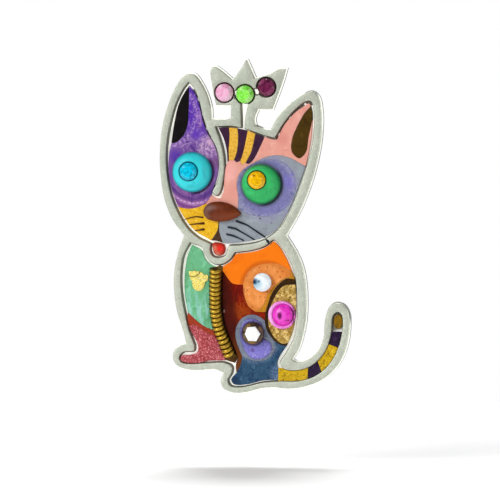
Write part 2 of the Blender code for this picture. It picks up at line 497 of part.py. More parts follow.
def holds(loop, point):
    inside = False
    for a, b in zip(loop, loop[1:] + loop[:1]):
        if (a.y > point.y) != (b.y > point.y):
            crossing = a.x + (point.y - a.y) * (b.x - a.x) / (b.y - a.y)
            inside ^= point.x < crossing
    return inside


def covering(outer, holes):
    """Points and triangles that cover the outer loop less its holes."""
    points = []
    edges = []
    for loop in [outer, *holes]:
        first = len(points)
        points.extend(loop)
        edges.extend((first + step, first + (step + 1) % len(loop)) for step in range(len(loop)))
    points, _, triangles, *_ = delaunay_2d_cdt(points, edges, [], 0, SAME_POINT / 10)
    kept = []
    for triangle in triangles:
        middle = sum((points[corner] for corner in triangle), Vector((0, 0))) / 3
        if holds(outer, middle) and not any(holds(hole, middle) for hole in holes):
            kept.append(tuple(triangle))
    return points, kept


def placed(axis, point, level):
    """A flat point at a level along an axis, in space."""
    if axis == "X":
        return Vector((level, point[0], point[1]))
    if axis == "Y":
        return Vector((point[0], level, point[1]))
    return Vector((point[0], point[1], level))


def make_material(name, finish):
    colour, metallic, roughness, transmission = FINISHES[finish]
    material = bpy.data.materials.new(name + "_" + finish)
    material.use_nodes = True
    shader = material.node_tree.nodes["Principled BSDF"]
    shader.inputs["Base Color"].default_value = (*colour, 1.0)
    shader.inputs["Metallic"].default_value = metallic
    shader.inputs["Roughness"].default_value = roughness
    shader.inputs["Transmission Weight"].default_value = transmission
    material.diffuse_color = (*colour, 1.0)
    return material


def add_object(name, points, faces, finish, origin=(0, 0, 0)):
    """A closed mesh from points in millimetres, with its own origin and material."""
    base = Vector(origin)
    mesh = bpy.data.meshes.new(name)
    mesh.from_pydata([(Vector(point) - base) * MM for point in points], [], faces)
    shape = bmesh.new()
    shape.from_mesh(mesh)
    bmesh.ops.recalc_face_normals(shape, faces=shape.faces)
    shape.to_mesh(mesh)
    shape.free()
    item = bpy.data.objects.new(name, mesh)
    item.location = base * MM
    if finish:
        mesh.materials.append(make_material(name, finish))
    bpy.context.scene.collection.objects.link(item)
    return item


def prism(name, axis, loops, low, high, finish, origin=(0, 0, 0)):
    """A straight prism of the first loop less the others, between two levels of an axis."""
    flat, triangles = covering(loops[0], loops[1:])
    used = sorted({corner for triangle in triangles for corner in triangle})
    index = {corner: place for place, corner in enumerate(used)}
    count = len(used)
    points = [placed(axis, flat[corner], level) for level in (low, high) for corner in used]
    lower = [tuple(index[corner] for corner in triangle) for triangle in triangles]
    upper = [tuple(corner + count for corner in reversed(triangle)) for triangle in lower]
    directed = {(a, b) for t in lower for a, b in zip(t, t[1:] + t[:1])}
    walls = [(a, b, b + count, a + count) for a, b in sorted(directed) if (b, a) not in directed]
    return add_object(name, points, lower + upper + walls, finish, origin)


def plate(name, loops, back, front, finish):
    """A flat piece lying in the badge, between two depths in front of its back face."""
    return prism(name, "Y", loops, -back, -front, finish)


def stacked(name, rings, finish, origin=(0, 0, 0), around=False):
    """A solid skinned over rings of equally many points; a single point is an apex."""
    points = [point for ring in rings for point in ring]
    starts = [sum(len(ring) for ring in rings[:place]) for place in range(len(rings))]
    pairs = list(zip(range(len(rings)), range(1, len(rings))))
    if around:
        pairs.append((len(rings) - 1, 0))
    faces = []
    for one, two in pairs:
        count = max(len(rings[one]), len(rings[two]))
        for step in range(count):
            after = (step + 1) % count
            if len(rings[one]) == 1:
                faces.append((starts[one], starts[two] + step, starts[two] + after))
            elif len(rings[two]) == 1:
                faces.append((starts[one] + step, starts[two], starts[one] + after))
            else:
                a, b = starts[one] + step, starts[one] + after
                c, d = starts[two] + after, starts[two] + step
                faces.extend([(a, b, c), (a, c, d)])
    if not around:
        for place in (0, len(rings) - 1):
            if len(rings[place]) > 1:
                faces.append(tuple(starts[place] + step for step in range(len(rings[place]))))
    return add_object(name, points, faces, finish, origin)


def level_ring(centre, radius, depth, steps, turn=0.0):
    """A ring facing the front at a depth, its first point turned by a share of one step."""
    ring = []
    for step in range(steps):
        angle = 2 * math.pi * (step + turn) / steps
        x = centre[0] + radius * math.cos(angle)
        z = centre[1] + radius * math.sin(angle)
        ring.append(Vector((x, -depth, z)))
    return ring


def combine(target, operation, operand):
    """Joins a hidden solid to a piece, or cuts it out of it."""
    operand.hide_render = True
    operand.display_type = "WIRE"
    step = target.modifiers.new(operand.name, "BOOLEAN")
    step.operation = operation
    step.solver = "EXACT"
    step.object = operand


def bar_outline(margin):
    """A rounded rectangle round the bar, larger than it by a margin."""
    low, high = BAR_Z - BAR_WIDTH / 2, BAR_Z + BAR_WIDTH / 2
    loop = []
    for x, z, quarter in ((BAR_X[1], high, 0), (BAR_X[0], high, 1), (BAR_X[0], low, 2), (BAR_X[1], low, 3)):
        middle = (x + math.copysign(BAR_CORNER, -x), z + math.copysign(BAR_CORNER, BAR_Z - z))
        start = quarter * math.pi / 2
        loop.extend(arc(middle, BAR_CORNER + margin, start, start + math.pi / 2, 5))
    return loop


def add_plate_and_frame():
    """The backplate, with a shallow seat for the bar in its back, and the frame with its windows."""
    silhouette = outline(PLATE_OUTLINE)
    back = plate("backplate", [silhouette], 0, PLATE_THICKNESS, "polished_steel")
    combine(back, "DIFFERENCE", plate("bar_seat", [bar_outline(BAR_SEAT_MARGIN)], -1, BAR_SEAT_DEPTH, None))
    windows = [outline(HEAD_WINDOW), outline(BODY_WINDOW)]
    windows.extend(outline(slot) for slot in CROWN_SLOTS)
    windows.extend(circle(centre, CROWN_SEAT_RADIUS) for centre in CROWN_STONES.values())
    plate("outline_frame", [inset(silhouette, FRAME_STEP), *windows], FLOOR, FRAME_TOP, "satin_steel")


def spine_side(offset):
    """The line beside the spine at an offset to its right."""
    line = smooth(SPINE)
    side = []
    for before, point, after in zip(line[:1] + line[:-1], line, line[1:] + line[-1:]):
        along = (after - before).normalized()
        side.append(point + Vector((-along.y, along.x)) * offset)
    return side


def at_height(line, z):
    """The point of a falling line at a height."""
    for a, b in zip(line, line[1:]):
        if a.y >= z >= b.y:
            return a.lerp(b, (a.y - z) / (a.y - b.y))
    return line[-1]


def between_heights(line, top, bottom):
    inner = [point for point in line if top - SAME_POINT > point.y > bottom + SAME_POINT]
    return [at_height(line, top), *inner, at_height(line, bottom)]


def spine_edges():
    """The enamel edges that run beside the coil, and those that end on them."""
    left = spine_side(-SPINE_CHANNEL)
    right = spine_side(SPINE_CHANNEL)
    mint_end = at_height(left, MINT_END)
    band_end = at_height(left, BAND_END)
    paw_end = at_height(left, PAW_END)
    burgundy_start = at_height(right, BURGUNDY_TOP)
    burgundy_end = at_height(right, BURGUNDY_END)
    return {
        "mint_spine": [Vector((-6.4, -6.6)), *between_heights(left, MINT_TOP, MINT_END)],
        "band_spine": between_heights(left, MINT_END, BAND_END),
        "paw_spine": between_heights(left, BAND_END, PAW_END),
        "burgundy_spine": between_heights(right, BURGUNDY_TOP, BURGUNDY_END)[::-1],
        "mint_band": smooth([mint_end, (-8.3, -16.3), (-9.7, -15.25), (-11.0, -14.05)]),
        "band_paw": smooth([(-10.85, -16.3), (-9.9, -16.05), (-8.4, -17.05), band_end]),
        "paw_margin": smooth([paw_end, (-7.4, -21.92), (-9.2, -22.27), (-11.1, -22.3), (-12.2, -21.85),
                              (-12.1, -21.15), (-10.6, -20.95), (-9.45, -20.5), (-9.35, -19.4),
                              (-10.25, -17.6), (-10.85, -16.3)]),
        "orange_spine": [Vector((-5.2, -6.5)), burgundy_start],
        "orange_burgundy": smooth([burgundy_start, (-4.6, -8.2), (-3.6, -9.3), (-1.9, -9.5)]),
        "burgundy_foot": smooth([(-2.98, -23.8), (-3.1, -22.6), burgundy_end]),
    }


def add_enamel_fields():
    """The poured enamel, one piece per colour with a hair line between neighbours, and the coil's bed."""
    edges = {name: smooth(anchors) for name, anchors in EDGES.items()}
    edges.update(spine_edges())
    for name, finish, around in FIELDS:
        lines = [edges[edge.lstrip("-")][::-1] if edge.startswith("-") else edges[edge] for edge in around]
        loop = inset(joined(lines), ENAMEL_JOINT / 2)
        plate(name, [loop], FLOOR, ENAMEL_TOP, finish)
    bed = joined([between_heights(spine_side(-SPINE_CHANNEL), MINT_TOP, BED_END), SPINE_BED_FOOT,
                  edges["burgundy_spine"], SPINE_BED_HEAD])
    plate("coil_bed", [inset(bed, ENAMEL_JOINT / 2)], FLOOR, FLOOR + SPINE_BED, "bed_enamel")


def add_tail_fields():
    """The tail's blocks, trimmed by its channel in the frame, and the rounded one at its end."""
    channel = inset(outline(BODY_WINDOW), TAIL_MARGIN)
    for name, finish, corners in TAIL_BLOCKS:
        block = plate(name, [[Vector(corner) for corner in corners]], FLOOR, ENAMEL_TOP, finish)
        combine(block, "INTERSECT", plate(name + "_channel", [channel], 0, FRAME_TOP, None))
    plate("tail_tip", [closed(CLOSED_OUTLINES["tail_tip"])], FLOOR, ENAMEL_TOP, "tip_enamel")


def add_cushion(name, loop, base, height, finish, levels=4):
    """A glossy drop with this outline: an upright edge that rounds over to a soft top."""
    centre = sum(loop, Vector((0, 0))) / len(loop)
    edge = 0.25 * height
    rings = [[placed("Y", point, -base) for point in loop]]
    for level in range(levels):
        angle = math.pi / 2 * level / levels
        depth = base + edge + (height - edge) * math.sin(angle)
        rings.append([placed("Y", centre.lerp(point, math.cos(angle)), -depth) for point in loop])
    rings.append([placed("Y", centre, -base - height)])
    return stacked(name, rings, finish)


def add_eye_dome(name, eye, finish):
    """A round dome with a stone's seat sunk into its top, set off the dome's own centre."""
    centre = Vector(eye["centre"])
    seat = Vector(eye["seat"])
    rings = [level_ring(centre, eye["radius"], TRIM_BASE, CIRCLE_STEPS)]
    for level in range(5):
        share = level / 4
        radius = eye["radius"] + (EYE_SEAT_RADIUS - eye["radius"]) * share
        depth = TRIM_BASE + EYE_SHOULDER + (EYE_HEIGHT - EYE_SHOULDER) * math.sin(math.pi / 2 * share)
        rings.append(level_ring(centre.lerp(seat, share), radius, depth, CIRCLE_STEPS))
    floor = TRIM_BASE + EYE_HEIGHT - EYE_SEAT_DEPTH
    rings.append(level_ring(seat, EYE_SEAT_RADIUS - EYE_SEAT_TAPER, floor, CIRCLE_STEPS))
    return stacked(name, rings, finish)


def add_gem(name, centre, radius, base, depth, crown, finish, facets=FACETS):
    """A cut stone: a flat-bottomed cone behind the girdle, two rows of facets and a table before it."""
    girdle = base + depth
    rings = [
        level_ring(centre, 0.3 * radius, base, facets),
        level_ring(centre, radius, girdle, facets),
        level_ring(centre, radius, girdle + GIRDLE, facets),
        level_ring(centre, 0.82 * radius, girdle + GIRDLE + 0.55 * crown, facets, 0.5),
        level_ring(centre, 0.55 * radius, girdle + GIRDLE + crown, facets),
    ]
    return stacked(name, rings, finish)


def add_crown_stones():
    for name, centre in CROWN_STONES.items():
        add_gem(name, centre, CROWN_STONE_RADIUS, FLOOR, 1.05, 0.6, name.replace("stone", "glass"))


def add_eyes():
    add_eye_dome("turquoise_eye_dome", TURQUOISE_EYE, "turquoise_enamel")
    add_eye_dome("green_eye_dome", GREEN_EYE, "green_enamel")
    floor = TRIM_BASE + EYE_HEIGHT - EYE_SEAT_DEPTH + SOLDER_GAP
    add_gem("aqua_stone", TURQUOISE_EYE["seat"], EYE_STONE_RADIUS, floor, 0.5, 0.45, "aqua_glass")
    add_gem("yellow_stone", GREEN_EYE["seat"], EYE_STONE_RADIUS, floor, 0.5, 0.45, "yellow_glass")


def add_bezel(name, stone, base, finish, steps):
    """A raised ring with sloping sides round a stone."""
    centre = stone["centre"]
    outer = stone["radius"]
    inner = stone["stone_radius"] + BEZEL_GAP
    rings = [
        level_ring(centre, inner, base, steps),
        level_ring(centre, outer, base, steps),
        level_ring(centre, outer, base + 0.6 * BEZEL_HEIGHT, steps),
        level_ring(centre, outer - BEZEL_LIP, base + BEZEL_HEIGHT, steps),
        level_ring(centre, inner + BEZEL_LIP / 2, base + BEZEL_HEIGHT, steps),
        level_ring(centre, inner, base + 0.75 * BEZEL_HEIGHT, steps),
    ]
    return stacked(name, rings, finish, around=True)


def add_body_stones():
    """The clear stone, the magenta stone in its pink ring and the six-sided stone in its dark cup."""
    add_gem("clear_stone", CLEAR_STONE["centre"], CLEAR_STONE["radius"], TRIM_BASE, 0.35, 0.6, "clear_glass")
    add_bezel("magenta_ring", MAGENTA, TRIM_BASE, "pink_bezel", CIRCLE_STEPS)
    disc = circle(MAGENTA["centre"], MAGENTA["stone_radius"], CIRCLE_STEPS)
    add_cushion("magenta_stone", disc, TRIM_BASE, 1.1, "magenta_glass")
    on_bubble = TRIM_BASE + BUBBLE_HEIGHT + SOLDER_GAP
    add_bezel("stone_cup", CUP, on_bubble, "dark_gold", FACETS)
    add_gem("hex_stone", CUP["centre"], CUP["stone_radius"], on_bubble, 0.45, 0.6, "clear_glass", 6)


def add_trim():
    """Nose, tongue, leaf, bubble and whiskers, glued on the enamel or the bare plate."""
    outlines = {name: closed(anchors) for name, anchors in CLOSED_OUTLINES.items()}
    add_cushion("nose_drop", outlines["nose_drop"], TRIM_BASE, NOSE_HEIGHT, "brown_enamel")
    add_cushion("tongue_drop", outlines["tongue_drop"], FLOOR, TONGUE_HEIGHT, "red_enamel")
    torn = [Vector(corner) for corner in LEAF_OUTLINE]
    plate("gold_leaf", [torn], TRIM_BASE, TRIM_BASE + LEAF_HEIGHT, "gold_leaf")
    bubble = outlines["violet_bubble"]
    plate("violet_bubble", [bubble], TRIM_BASE, TRIM_BASE + BUBBLE_HEIGHT, "pale_violet_enamel")
    for name, stations in WHISKERS.items():
        finish = "burgundy_enamel" if "left" in name else "black_enamel"
        plate(name, [whisker_outline(stations)], TRIM_BASE, TRIM_BASE + WHISKER_HEIGHT, finish)


def whisker_outline(stations):
    """Both sides of a whisker, with a pointed nib at each end."""
    points = [Vector((x, z)) for x, z, _ in stations]
    one_side = []
    other_side = []
    for place, (_, _, half_width) in enumerate(stations):
        before = points[max(place - 1, 0)]
        after = points[min(place + 1, len(points) - 1)]
        along = (after - before).normalized()
        across = Vector((-along.y, along.x)) * half_width
        one_side.append(points[place] + across)
        other_side.append(points[place] - across)
    start = points[0] - (points[1] - points[0]).normalized() * stations[0][2]
    stop = points[-1] + (points[-1] - points[-2]).normalized() * stations[-1][2]
    return joined([[start], smooth(one_side), [stop], smooth(other_side[::-1])])


def add_coil():
    """The coil spine: round wire wound in leaning turns along the spine line."""
    line = smooth(SPINE)
    axis_depth = FLOOR + SPINE_BED + COIL_RADIUS + COIL_WIRE + SOLDER_GAP
    count = COIL_TURNS * COIL_STEPS
    centres = []
    for step in range(count + 1):
        turn = 2 * math.pi * step / COIL_STEPS
        wound = turn + COIL_LEVEL * (math.cos(turn) - 1)
        height = COIL_TOP + (COIL_BOTTOM - COIL_TOP) * wound / (2 * math.pi * COIL_TURNS)
        middle = at_height(line, height)
        slope = at_height(line, height - COIL_REACH) - at_height(line, height + COIL_REACH)
        down = slope.normalized()
        right = Vector((-down.y, down.x))
        side = COIL_RADIUS * math.cos(turn)
        front = COIL_RADIUS * math.sin(turn)
        flat = middle + right * side + down * front * math.tan(COIL_LEAN)
        centres.append(Vector((flat.x, -axis_depth - front, flat.y)))
    rings = []
    for before, centre, after in zip(centres[:1] + centres[:-1], centres, centres[1:] + centres[-1:]):
        along = (after - before).normalized()
        level = along.cross(WIRE_CROSS).normalized()
        other = along.cross(level)
        ring = []
        for side in range(COIL_WIRE_SIDES):
            turn = 2 * math.pi * side / COIL_WIRE_SIDES
            ring.append(centre + (level * math.cos(turn) + other * math.sin(turn)) * COIL_WIRE)
        rings.append(ring)
    stacked("coil_spine", rings, "aged_brass")


def arc(centre, radius, start, stop, steps):
    """Points on an arc; angles run from the first axis towards the second."""
    middle = Vector(centre)
    turns = [start + (stop - start) * step / steps for step in range(steps + 1)]
    return [middle + Vector((math.cos(turn), math.sin(turn))) * radius for turn in turns]


def add_bar_base():
    """The strip soldered on the plate, with two ears that hold the hinge rivet."""
    base = prism("bar_base", "Y", [bar_outline(0)], BAR_BACK, BAR_BACK + BAR_THICKNESS, "satin_steel")
    foot = BAR_BACK + BAR_THICKNESS / 2
    ear = [Vector((HINGE_X + EAR_RADIUS, foot)), *arc((HINGE_X, AXIS_Y), EAR_RADIUS, 0, math.pi, 12),
           Vector((HINGE_X - EAR_RADIUS, foot))]
    bore = circle((HINGE_X, AXIS_Y), RIVET_RADIUS + SOLDER_GAP, 20)
    for name, side in (("ear_upper", 1), ("ear_lower", -1)):
        near = BAR_Z + side * EAR_HALF_SPAN
        far = near + side * EAR_THICKNESS
        combine(base, "UNION", prism(name, "Z", [ear, bore], min(near, far), max(near, far), None))


def turned(profile, axis, centre, steps):
    """Rings of a turned shape from pairs of level along the axis and radius."""
    rings = []
    for level, radius in profile:
        loop = circle(centre, radius, steps) if radius else [Vector(centre)]
        rings.append([placed(axis, point, level) for point in loop])
    return rings


def add_hinge_rivet():
    reach = EAR_HALF_SPAN + EAR_THICKNESS + SOLDER_GAP
    upper = [(reach, RIVET_RADIUS), (reach, RIVET_HEAD_RADIUS), (reach + RIVET_HEAD_EDGE, RIVET_HEAD_RADIUS),
             (reach + RIVET_HEAD, RIVET_CROWN * RIVET_HEAD_RADIUS)]
    profile = [(BAR_Z - level, radius) for level, radius in reversed(upper)]
    profile.extend((BAR_Z + level, radius) for level, radius in upper)
    stacked("hinge_rivet", turned(profile, "Z", (HINGE_X, AXIS_Y), 20), "polished_steel")


def add_pin_stem():
    """The pin: a barrel on the rivet and a round stem that tapers to a point."""
    origin = (HINGE_X, AXIS_Y, BAR_Z)
    loops = [circle((HINGE_X, AXIS_Y), BARREL_RADIUS, 24), circle((HINGE_X, AXIS_Y), BARREL_BORE, 20)]
    stem = prism("pin_stem", "Z", loops, BAR_Z - BARREL_HALF_WIDTH, BAR_Z + BARREL_HALF_WIDTH,
                 "polished_steel", origin=origin)
    profile = [(HINGE_X + STEM_ROOT, STEM_RADIUS), (STEM_END_X - STEM_TAPER, STEM_RADIUS),
               (STEM_END_X - STEM_POINT, 0.6 * STEM_RADIUS), (STEM_END_X, 0)]
    combine(stem, "UNION", stacked("stem_shaft", turned(profile, "X", (AXIS_Y, BAR_Z), 14), None))


def slotted_ring(outer, bore, slot, steps):
    """The two sides of a ring with a slot towards +Y, as an outer and an inner arc."""
    centre = (AXIS_Y, BAR_Z)
    out = math.asin(slot / outer)
    inner = math.asin(slot / bore)
    return (arc(centre, outer, out, 2 * math.pi - out, steps),
            arc(centre, bore, 2 * math.pi - inner, inner, steps))


def add_catch_housing():
    """The catch: a slotted tube between two slotted flanges that stand on the bar."""
    outside, bore = slotted_ring(TUBE_RADIUS, TUBE_BORE, TUBE_SLOT, 20)
    overlap = FLANGE_INNER_X + FLANGE_THICKNESS / 2
    housing = prism("catch_housing", "X", [outside + bore], CATCH_X - overlap, CATCH_X + overlap,
                    "polished_steel")
    outside, bore = slotted_ring(FLANGE_RADIUS, FLANGE_BORE, FLANGE_SLOT, 22)
    foot_y = BAR_BACK + BAR_THICKNESS + SOLDER_GAP
    drop = math.sqrt(FLANGE_RADIUS ** 2 - FOOT_HALF_WIDTH ** 2)
    upper = [point for point in outside if point.x > AXIS_Y - drop and point.y > BAR_Z]
    lower = [point for point in outside if point.x > AXIS_Y - drop and point.y < BAR_Z]
    foot = [Vector((foot_y, BAR_Z + FOOT_HALF_WIDTH)), Vector((foot_y, BAR_Z - FOOT_HALF_WIDTH))]
    loop = [*upper, *foot, *lower, *bore]
    for name, side in (("flange_left", -1), ("flange_right", 1)):
        near = CATCH_X + side * FLANGE_INNER_X
        far = near + side * FLANGE_THICKNESS
        combine(housing, "UNION", prism(name, "X", [loop], min(near, far), max(near, far), None))


def add_lock_rotor():
    """The slotted collar that turns on the tube and shuts its slot, with a thumb tab."""
    outside, bore = slotted_ring(ROTOR_RADIUS, ROTOR_BORE, ROTOR_SLOT, 24)
    half = math.asin(TAB_HALF_WIDTH / ROTOR_RADIUS)
    centre = Vector((AXIS_Y, BAR_Z))
    along = Vector((math.cos(TAB_ANGLE), math.sin(TAB_ANGLE)))
    across = Vector((-along.y, along.x)) * TAB_HALF_WIDTH
    root = along * math.sqrt(ROTOR_RADIUS ** 2 - TAB_HALF_WIDTH ** 2)
    tip = along * TAB_REACH
    tab = [centre + root - across, centre + tip - across, centre + tip + across, centre + root + across]
    rim = []
    for point in outside:
        turn = (point - centre).angle_signed(along)
        if abs(turn) > half + 0.03:
            rim.append(point)
        elif tab:
            rim.extend(tab)
            tab = []
    prism("lock_rotor", "X", [rim + bore], CATCH_X - ROTOR_HALF_WIDTH, CATCH_X + ROTOR_HALF_WIDTH,
          "aged_brass", origin=(CATCH_X, AXIS_Y, BAR_Z))


def build():
    clear_scene()
    add_plate_and_frame()
    add_enamel_fields()
    add_tail_fields()
    add_crown_stones()
    add_eyes()
    add_body_stones()
    add_trim()
    add_coil()
    add_bar_base()
    add_hinge_rivet()
    add_pin_stem()
    add_catch_housing()
    add_lock_rotor()


build()
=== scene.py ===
"""Looks of the cat pin: domed enamel, cut stones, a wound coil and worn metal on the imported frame."""

import math
import random

import bmesh
import bpy
import numpy as np
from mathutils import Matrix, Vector
from mathutils.geometry import delaunay_2d_cdt


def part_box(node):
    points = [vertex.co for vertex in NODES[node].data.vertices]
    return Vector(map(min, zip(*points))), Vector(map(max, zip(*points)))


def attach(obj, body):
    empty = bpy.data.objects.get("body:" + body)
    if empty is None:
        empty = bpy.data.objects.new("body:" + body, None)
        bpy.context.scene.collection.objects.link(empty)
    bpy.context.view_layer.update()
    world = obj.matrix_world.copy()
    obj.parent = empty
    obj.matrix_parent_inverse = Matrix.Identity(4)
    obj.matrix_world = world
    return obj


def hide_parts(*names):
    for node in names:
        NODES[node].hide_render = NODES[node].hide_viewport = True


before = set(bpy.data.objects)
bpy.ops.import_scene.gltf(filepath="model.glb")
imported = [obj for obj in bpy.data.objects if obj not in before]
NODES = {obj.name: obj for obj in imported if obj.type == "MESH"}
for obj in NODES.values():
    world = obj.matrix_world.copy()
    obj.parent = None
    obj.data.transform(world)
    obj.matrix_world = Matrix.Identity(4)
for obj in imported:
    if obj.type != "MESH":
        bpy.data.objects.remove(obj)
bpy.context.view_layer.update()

MM = 0.001
SCENE = bpy.context.scene


def node_circle(node):
    """Centre and radius of a round node, seen from the front, in millimetres."""
    low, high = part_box(node)
    return ((low[0] + high[0]) / 2 / MM, (low[2] + high[2]) / 2 / MM), (high[0] - low[0]) / 2 / MM


def node_depths(node):
    """How far a node's back and front stand off the badge's back, in millimetres."""
    low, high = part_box(node)
    return -high[1] / MM, -low[1] / MM


FRAME_TOP = node_depths("outline_frame")[1]
CROWN_SEATS = [node_circle(node)[0] for node in ("pink_stone", "green_stone", "amethyst_stone")]
CUP = node_circle("stone_cup")[0]
CLEAR_STONE = node_circle("clear_stone")[0]
# The peach disc is cut off by its neighbours, so the middle of its arc is given.
PEACH_MIDDLE = (1.95, -9.9)
UP, DOWN, LEFT, RIGHT = (0.0, 1.0), (0.0, -1.0), (-1.0, 0.0), (1.0, 0.0)

# ---------------------------------------------------------------- materials


def linear(colour):
    """Screen colour, 0 to 255, to the linear values that shaders use."""
    out = []
    for value in colour:
        share = value / 255
        out.append(share / 12.92 if share <= 0.04045 else ((share + 0.055) / 1.055) ** 2.4)
    return (*out, 1.0)


class Surface:
    """A Principled material whose colour and bump are built up from patterns in millimetres."""

    def __init__(self, name, colour, roughness=0.2, metallic=0.0, **sockets):
        self.material = bpy.data.materials.new(name)
        self.material.use_nodes = True
        self.tree = self.material.node_tree
        self.shader = self.tree.nodes["Principled BSDF"]
        self.set("Base Color", linear(colour))
        self.set("Roughness", roughness)
        self.set("Metallic", metallic)
        for socket, value in sockets.items():
            self.set(socket.replace("_", " "), value)
        self.colour = None
        self.normal = None
        self.start = linear(colour)
        place = self.tree.nodes.new("ShaderNodeTexCoord")
        self.place = self.mapped(place.outputs["Object"], (1 / MM, 1 / MM, 1 / MM))

    def set(self, socket, value):
        self.shader.inputs[socket].default_value = value

    def add(self, kind, **values):
        """A new node with some of its sockets set."""
        node = self.tree.nodes.new("ShaderNode" + kind)
        for socket, value in values.items():
            node.inputs[socket.replace("_", " ")].default_value = value
        return node

    def link(self, out, into):
        self.tree.links.new(out, into)

    def mapped(self, vector, scale, location=(0, 0, 0)):
        node = self.add("Mapping", Location=location, Scale=scale)
        self.link(vector, node.inputs["Vector"])
        return node.outputs["Vector"]

    def noise(self, size, detail=2.0, rough=0.5, warp=0.0, stretch=(1, 1, 1), shift=0.0):
        """A noise pattern with features about size millimetres across."""
        node = self.add("TexNoise", Scale=1 / size, Detail=detail, Roughness=rough, Distortion=warp)
        vector = self.mapped(self.place, stretch, (shift, 0.7 * shift, 0.3 * shift))
        self.link(vector, node.inputs["Vector"])
        return node.outputs["Fac"]

    def cells(self, size, feature="F1", output="Color", flat=True):
        """A cell pattern with cells about size millimetres across."""
        node = self.add("TexVoronoi", Scale=1 / size)
        node.feature = feature
        self.link(self.mapped(self.place, (1, 0, 1)) if flat else self.place, node.inputs["Vector"])
        return node.outputs[output]

    def reach(self, x, z, stretch=(1, 1)):
        """Distance from a point, seen from the front."""
        far = self.add("VectorMath")
        far.operation = "LENGTH"
        flat = self.mapped(self.place, (stretch[0], 0, stretch[1]), (-x * stretch[0], 0, -z * stretch[1]))
        self.link(flat, far.inputs[0])
        return far.outputs["Value"]

    def spot(self, x, z, inner, outer, stretch=(1, 1)):
        """One inside the inner radius, fading to nothing at the outer one."""
        return self.spread(self.reach(x, z, stretch), outer, inner)

    def halo(self, x, z, radius, width):
        """One on a circle, fading to nothing at a width on either side."""
        off = self.math("SUBTRACT", self.reach(x, z), radius)
        return self.spread(self.math("ABSOLUTE", off), width, 0)

    def axis(self, letter):
        """A coordinate in millimetres."""
        parts = self.add("SeparateXYZ")
        self.link(self.place, parts.inputs["Vector"])
        return parts.outputs[letter]

    def chances(self, size):
        """Two random values for each cell of a pattern."""
        parts = self.add("SeparateColor")
        self.link(self.cells(size), parts.inputs["Color"])
        return parts.outputs["Red"], parts.outputs["Green"]

    def angle(self, x, z):
        """Angle round a point, seen from the front."""
        over = self.math("SUBTRACT", self.axis("Z"), z)
        return self.math("ARCTAN2", over, self.math("SUBTRACT", self.axis("X"), x))

    def swirl(self, x, z, across, along, shift):
        """Streaks that run round a point: noise that is short across them and long along them."""
        node = self.add("TexNoise", Scale=1.0, Detail=4.0, Roughness=0.62, Distortion=0.5)
        polar = self.add("CombineXYZ", Z=shift)
        wobble = self.math("MULTIPLY", self.noise(2.6, 2.0, shift=shift), 1.6)
        self.link(self.math("DIVIDE", self.math("ADD", self.reach(x, z), wobble), across), polar.inputs["X"])
        self.link(self.math("DIVIDE", self.angle(x, z), along), polar.inputs["Y"])
        self.link(polar.outputs["Vector"], node.inputs["Vector"])
        return node.outputs["Fac"]

    def veins(self, size, width, warp, shift=0.0):
        """Thin wandering lines, where a noise pattern crosses its middle value."""
        middle = self.math("SUBTRACT", self.noise(size, 3.0, 0.6, warp, shift=shift), 0.5)
        return self.spread(self.math("ABSOLUTE", middle), width, 0)

    def wedges(self, x, z, count, turn=0.0, band=0.0):
        """A random tone for each of a number of wedges round a point."""
        number = self.math("FLOOR", self.math("MULTIPLY_ADD", self.angle(x, z), count / (2 * math.pi), turn))
        chance = self.add("TexWhiteNoise")
        chance.noise_dimensions = "1D"
        self.link(self.math("ADD", number, band), chance.inputs["W"])
        return chance.outputs["Value"]

    def slope(self, direction, start, stop):
        """Zero to one along a direction in the front plane, from start to stop in millimetres."""
        along = self.add("VectorMath")
        along.operation = "DOT_PRODUCT"
        along.inputs[1].default_value = (direction[0], 0, direction[1])
        self.link(self.place, along.inputs[0])
        return self.spread(along.outputs["Value"], start, stop)

    def depth(self, low, high):
        """Zero to one with the height over the badge's back, in millimetres."""
        return self.spread(self.axis("Y"), -low, -high)

    def spread(self, value, low, high):
        """A value mapped softly to the range from 0 to 1."""
        node = self.add("MapRange", From_Min=low, From_Max=high)
        node.interpolation_type = "SMOOTHSTEP"
        self.link(value, node.inputs["Value"])
        return node.outputs["Result"]

    def math(self, operation, *values):
        node = self.add("Math")
        node.operation = operation
        for place, value in enumerate(values):
            if isinstance(value, (int, float)):
                node.inputs[place].default_value = value
            else:
                self.link(value, node.inputs[place])
        return node.outputs["Value"]

    def times(self, *values):
        product = values[0]
        for value in values[1:]:
            product = self.math("MULTIPLY", product, value)
        return product

    def flipped(self, mask):
        return self.math("SUBTRACT", 1.0, mask)

    def tint(self, masks, colour, amount=1.0):
        """Mixes a colour into the surface where a mask, or each of several masks, says."""
        node = self.add("Mix")
        node.data_type = "RGBA"
        if self.colour is None:
            node.inputs[6].default_value = self.start
        else:
            self.link(self.colour, node.inputs[6])
        node.inputs[7].default_value = linear(colour)
        masks = masks if isinstance(masks, tuple) else (masks,)
        self.link(self.times(*masks, amount), node.inputs["Factor"])
        self.colour = node.outputs[2]

    def dab(self, place, inner, outer, colour, amount, stretch=(1, 1)):
        """Tints a soft round patch."""
        self.tint(self.spot(*place, inner, outer, stretch), colour, amount)

    def edge(self, place, inner, outer, colour, amount):
        """Tints everything outside a soft circle."""
        self.tint(self.flipped(self.spot(*place, inner, outer)), colour, amount)

    def fade(self, direction, start, stop, colour, amount):
        """Tints more and more along a direction."""
        self.tint(self.slope(direction, start, stop), colour, amount)

    def patches(self, size, low, high, detail=4.0, rough=0.6, **more):
        """A mask of soft patches of noise."""
        return self.spread(self.noise(size, detail, rough, **more), low, high)

    def clouds(self, size, low, high, colour, amount, *pattern, **more):
        """Tints soft patches of noise."""
        self.tint(self.patches(size, low, high, *pattern, **more), colour, amount)

